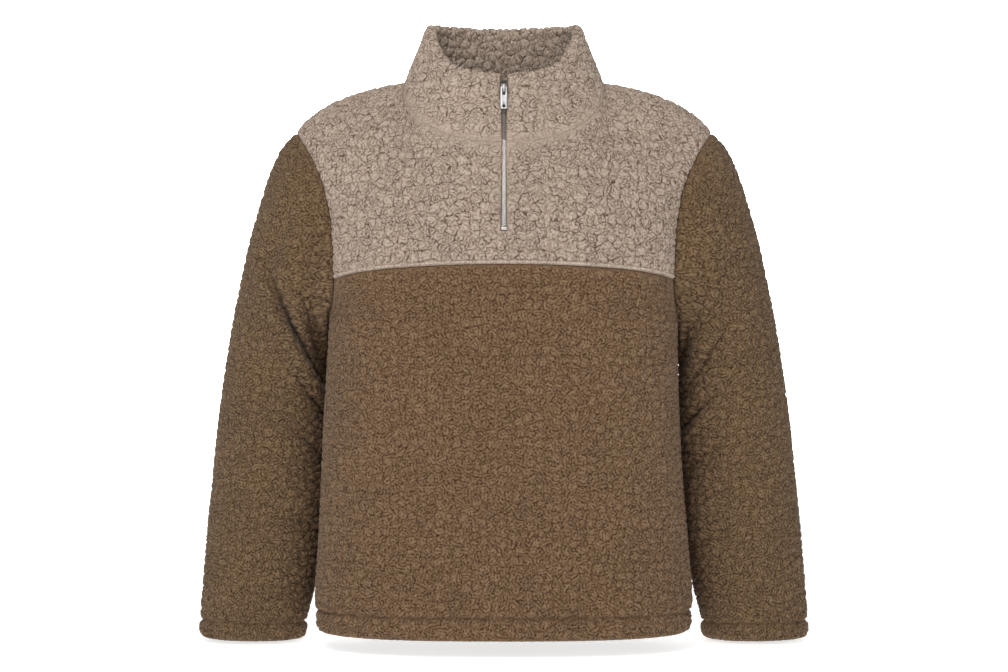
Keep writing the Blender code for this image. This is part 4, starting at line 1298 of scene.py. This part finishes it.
def zip_teeth(name):
    """Two rows of closed teeth, which lie deeper where they go up the collar and there take a darker
    metal, painted shade.
    """
    path, run = zip_line()
    foot = STOP_FOOT + STOP_LENGTH + SEAM_GAP
    top = run[-1] - TEETH_TOP_GAP - 1
    # A tooth is a rounded block: its corner points across, up and out, on a bevelled box.
    block = bmesh.new()
    bmesh.ops.create_cube(block, size=1)
    bmesh.ops.bevel(block, geom=block.edges[:], offset=0.16, segments=2, profile=0.6, affect="EDGES")
    corners = np.array([v.co[:] for v in block.verts])
    quads = [[v.index for v in f.verts] for f in block.faces]
    block.free()
    fours = np.array([f for f in quads if len(f) == 4])
    threes = np.array([f for f in quads if len(f) == 3]).reshape(-1, 3)
    points, four_faces, three_faces, shaded, total = [], [], [], [], 0
    shaped = corners * (TOOTH_REACH, TOOTH_TALL, TOOTH_OUT)
    across = np.array([1.0, 0, 0])
    for side in (-1, 1):
        first = foot + TOOTH_FIRST + (0 if side < 0 else TOOTH_PITCH / 2)
        at = np.arange(first, top, TOOTH_PITCH)
        for place, rise, way in zip(*zip_frames(path, run, at)):
            sink = TEETH_SINK * ramp(place[2], *TEETH_SINK_HEIGHTS)
            middle = place - way * (TEETH_DEPTH + 0.4 + sink)
            middle = middle + across * side * (TOOTH_REACH / 2 - TOOTH_OVERLAP)
            tooth = shaped[:, :1] * across + shaped[:, 1:2] * rise + shaped[:, 2:] * way
            points.append(middle + tooth)
            shaded.append(place[2] > TEETH_SHADE_FROM)
            four_faces.append(fours + total)
            three_faces.append(threes + total)
            total += len(corners)
    faces = [np.concatenate(four_faces), np.concatenate(three_faces)]
    made = new_object(name, np.concatenate(points), faces, TEETH_SILVER)
    made.data.materials.append(SHADED_TEETH)
    looks = np.concatenate([np.repeat(shaded, len(fours)), np.repeat(shaded, len(threes))])
    made.data.polygons.foreach_set("material_index", looks.astype(np.int32))
    return made


teeth = zip_teeth("zip_teeth_rows")
tape_right = from_node("zip_tape_right_weave", "zip_tape_right", TAPE, smooth=False)
tape_left = from_node("zip_tape_left_weave", "zip_tape_left", TAPE, smooth=False)
stop = from_node("zip_stop_metal", "zip_stop", TEETH_SILVER, bevel=0.35)
slider = from_node("zip_slider_metal", "zip_slider", SILVER, bevel=0.18)
tab = from_node("pull_tab_metal", "pull_tab", SILVER, bevel=0.22)

# Where the slider sits on the teeth, and the way out from the cloth there
SLIDER_SEAT = (0.0, -74.515, -17.944)
SLIDER_OUT = (0.0, -0.9714, 0.2373)


def shade_plate(slider):
    """The slider's plate behind its tab takes a darker metal, painted shade, and only its bridge stays
    bright.
    """
    mesh = slider.data
    mesh.materials.append(SHADED_SILVER)
    centres = np.empty(3 * len(mesh.polygons), np.float32)
    mesh.polygons.foreach_get("center", centres)
    height = (centres.reshape(-1, 3) / METRES - SLIDER_SEAT) @ SLIDER_OUT
    mesh.polygons.foreach_set("material_index", (height < PLATE_FRONT + 0.4).astype(np.int32))


shade_plate(slider)


# Each panel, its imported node, its slot, how it is held, what it hangs from and what lies on it
YOKES = ("front_yoke_cloth", "back_yoke_cloth")
PANELS = (
    (front_yoke, "front_yoke", "light_fleece", "draped", (), (edge_front,)),
    (back_yoke, "back_yoke", "light_fleece", "draped", (), (edge_back,)),
    (front_body, "front_body", "brown_fleece", "hung", YOKES[:1], ()),
    (back_body, "back_body", "brown_fleece", "hung", YOKES[1:], ()),
    (sleeve_right, "sleeve_right", "brown_fleece", "hung", YOKES, ()),
    (sleeve_left, "sleeve_left", "brown_fleece", "hung", YOKES, ()),
    (collar_cloth, "collar", "light_fleece", "folded", YOKES, ()),
)
# Each piece goes under the body that carries it, and the imported node that it stands for is hidden
for obj, node_name, slot_name, held, rests, pieces in PANELS:
    declared(obj, node_name)
declared(edge_front, "yoke_edge_front")
declared(edge_back, "yoke_edge_back")
declared(tape_right, "zip_tape_right")
declared(tape_left, "zip_tape_left")
declared(teeth, "zip_teeth")
declared(stop, "zip_stop")
declared(slider, "zip_slider")
declared(tab, "pull_tab", body="tab")

# The room, the lights and the camera, in metres
FLOOR = -0.682
SWEEP_FRONT = -6.0
SWEEP_AT = 6.0
SWEEP_TALL = 6.0
SWEEP_RADIUS = 2.0
SWEEP_HALF_WIDTH = 9.0
SWEEP_STEPS = 16
PAPER = 0.62
PAPER_GLOW = 0.74
WORLD_LIGHT = 0.32
LENS = 73.67
SENSOR = 36
CAMERA_PLACE = (0, -2.5, -0.308)
# Each light's name, place, aim, size, power and spread
LIGHTS = (
    ("key", (-0.7, -2.0, 1.9), (0, 0, -0.3), 1.5, 44, 180),
    ("fill", (1.5, -2.3, 0.6), (0, 0, -0.3), 1.4, 8, 180),
    ("wall", (0, 2.6, 3.6), (0, 6.0, 0.2), 3.0, 420, 80),
)


def backdrop():
    """A pale floor that curves up into a wall behind the garment."""
    start = SWEEP_AT - SWEEP_RADIUS
    line = [(SWEEP_FRONT, 0.0), (start, 0.0)]
    for n in range(1, SWEEP_STEPS + 1):
        turn = math.radians(90 * n / SWEEP_STEPS)
        rise = SWEEP_RADIUS * (1 - math.cos(turn))
        line.append((SWEEP_AT - SWEEP_RADIUS * (1 - math.sin(turn)), rise))
    line.append((SWEEP_AT, SWEEP_TALL))
    sides = (-SWEEP_HALF_WIDTH, SWEEP_HALF_WIDTH)
    points = np.array([(x, y, FLOOR + z) for y, z in line for x in sides]) / METRES
    made, tree, shader, place = new_material("pale paper")
    set_values(shader, ("Base Color", (PAPER, PAPER, PAPER, 1)), ("Emission Color", (1, 1, 1, 1)))
    set_values(shader, ("Emission Strength", PAPER_GLOW), ("Roughness", 0.9))
    set_values(shader, ("Specular IOR Level", 0.1))
    floor = new_object("paper_sweep", points, [grid_faces(len(line), 2)], made)


def area_light(name, place, aim, size, power, spread):
    """A round lamp that faces its aim."""
    light = bpy.data.lights.new(name, "AREA")
    light.spread = math.radians(spread)
    light.shape = "DISK"
    light.size = size
    light.energy = power
    made = linked(name, light)
    made.location = place
    made.rotation_mode = "QUATERNION"
    made.rotation_quaternion = (Vector(aim) - Vector(place)).to_track_quat("-Z", "Y")


backdrop()
world = bpy.data.worlds.new("studio")
bpy.context.scene.world = world
world.use_nodes = True
sky = world.node_tree.nodes["Background"]
sky.inputs["Color"].default_value = (1.0, 1.0, 1.0, 1)
sky.inputs["Strength"].default_value = WORLD_LIGHT
for row in LIGHTS:
    area_light(*row)

camera = bpy.data.cameras.new("camera")
camera.lens = LENS
camera.sensor_width = SENSOR
eye = linked("camera", camera)
eye.location = CAMERA_PLACE
eye.rotation_euler = (math.pi / 2, 0, 0)
bpy.context.scene.camera = eye
bpy.context.scene.view_settings.view_transform = "Standard"
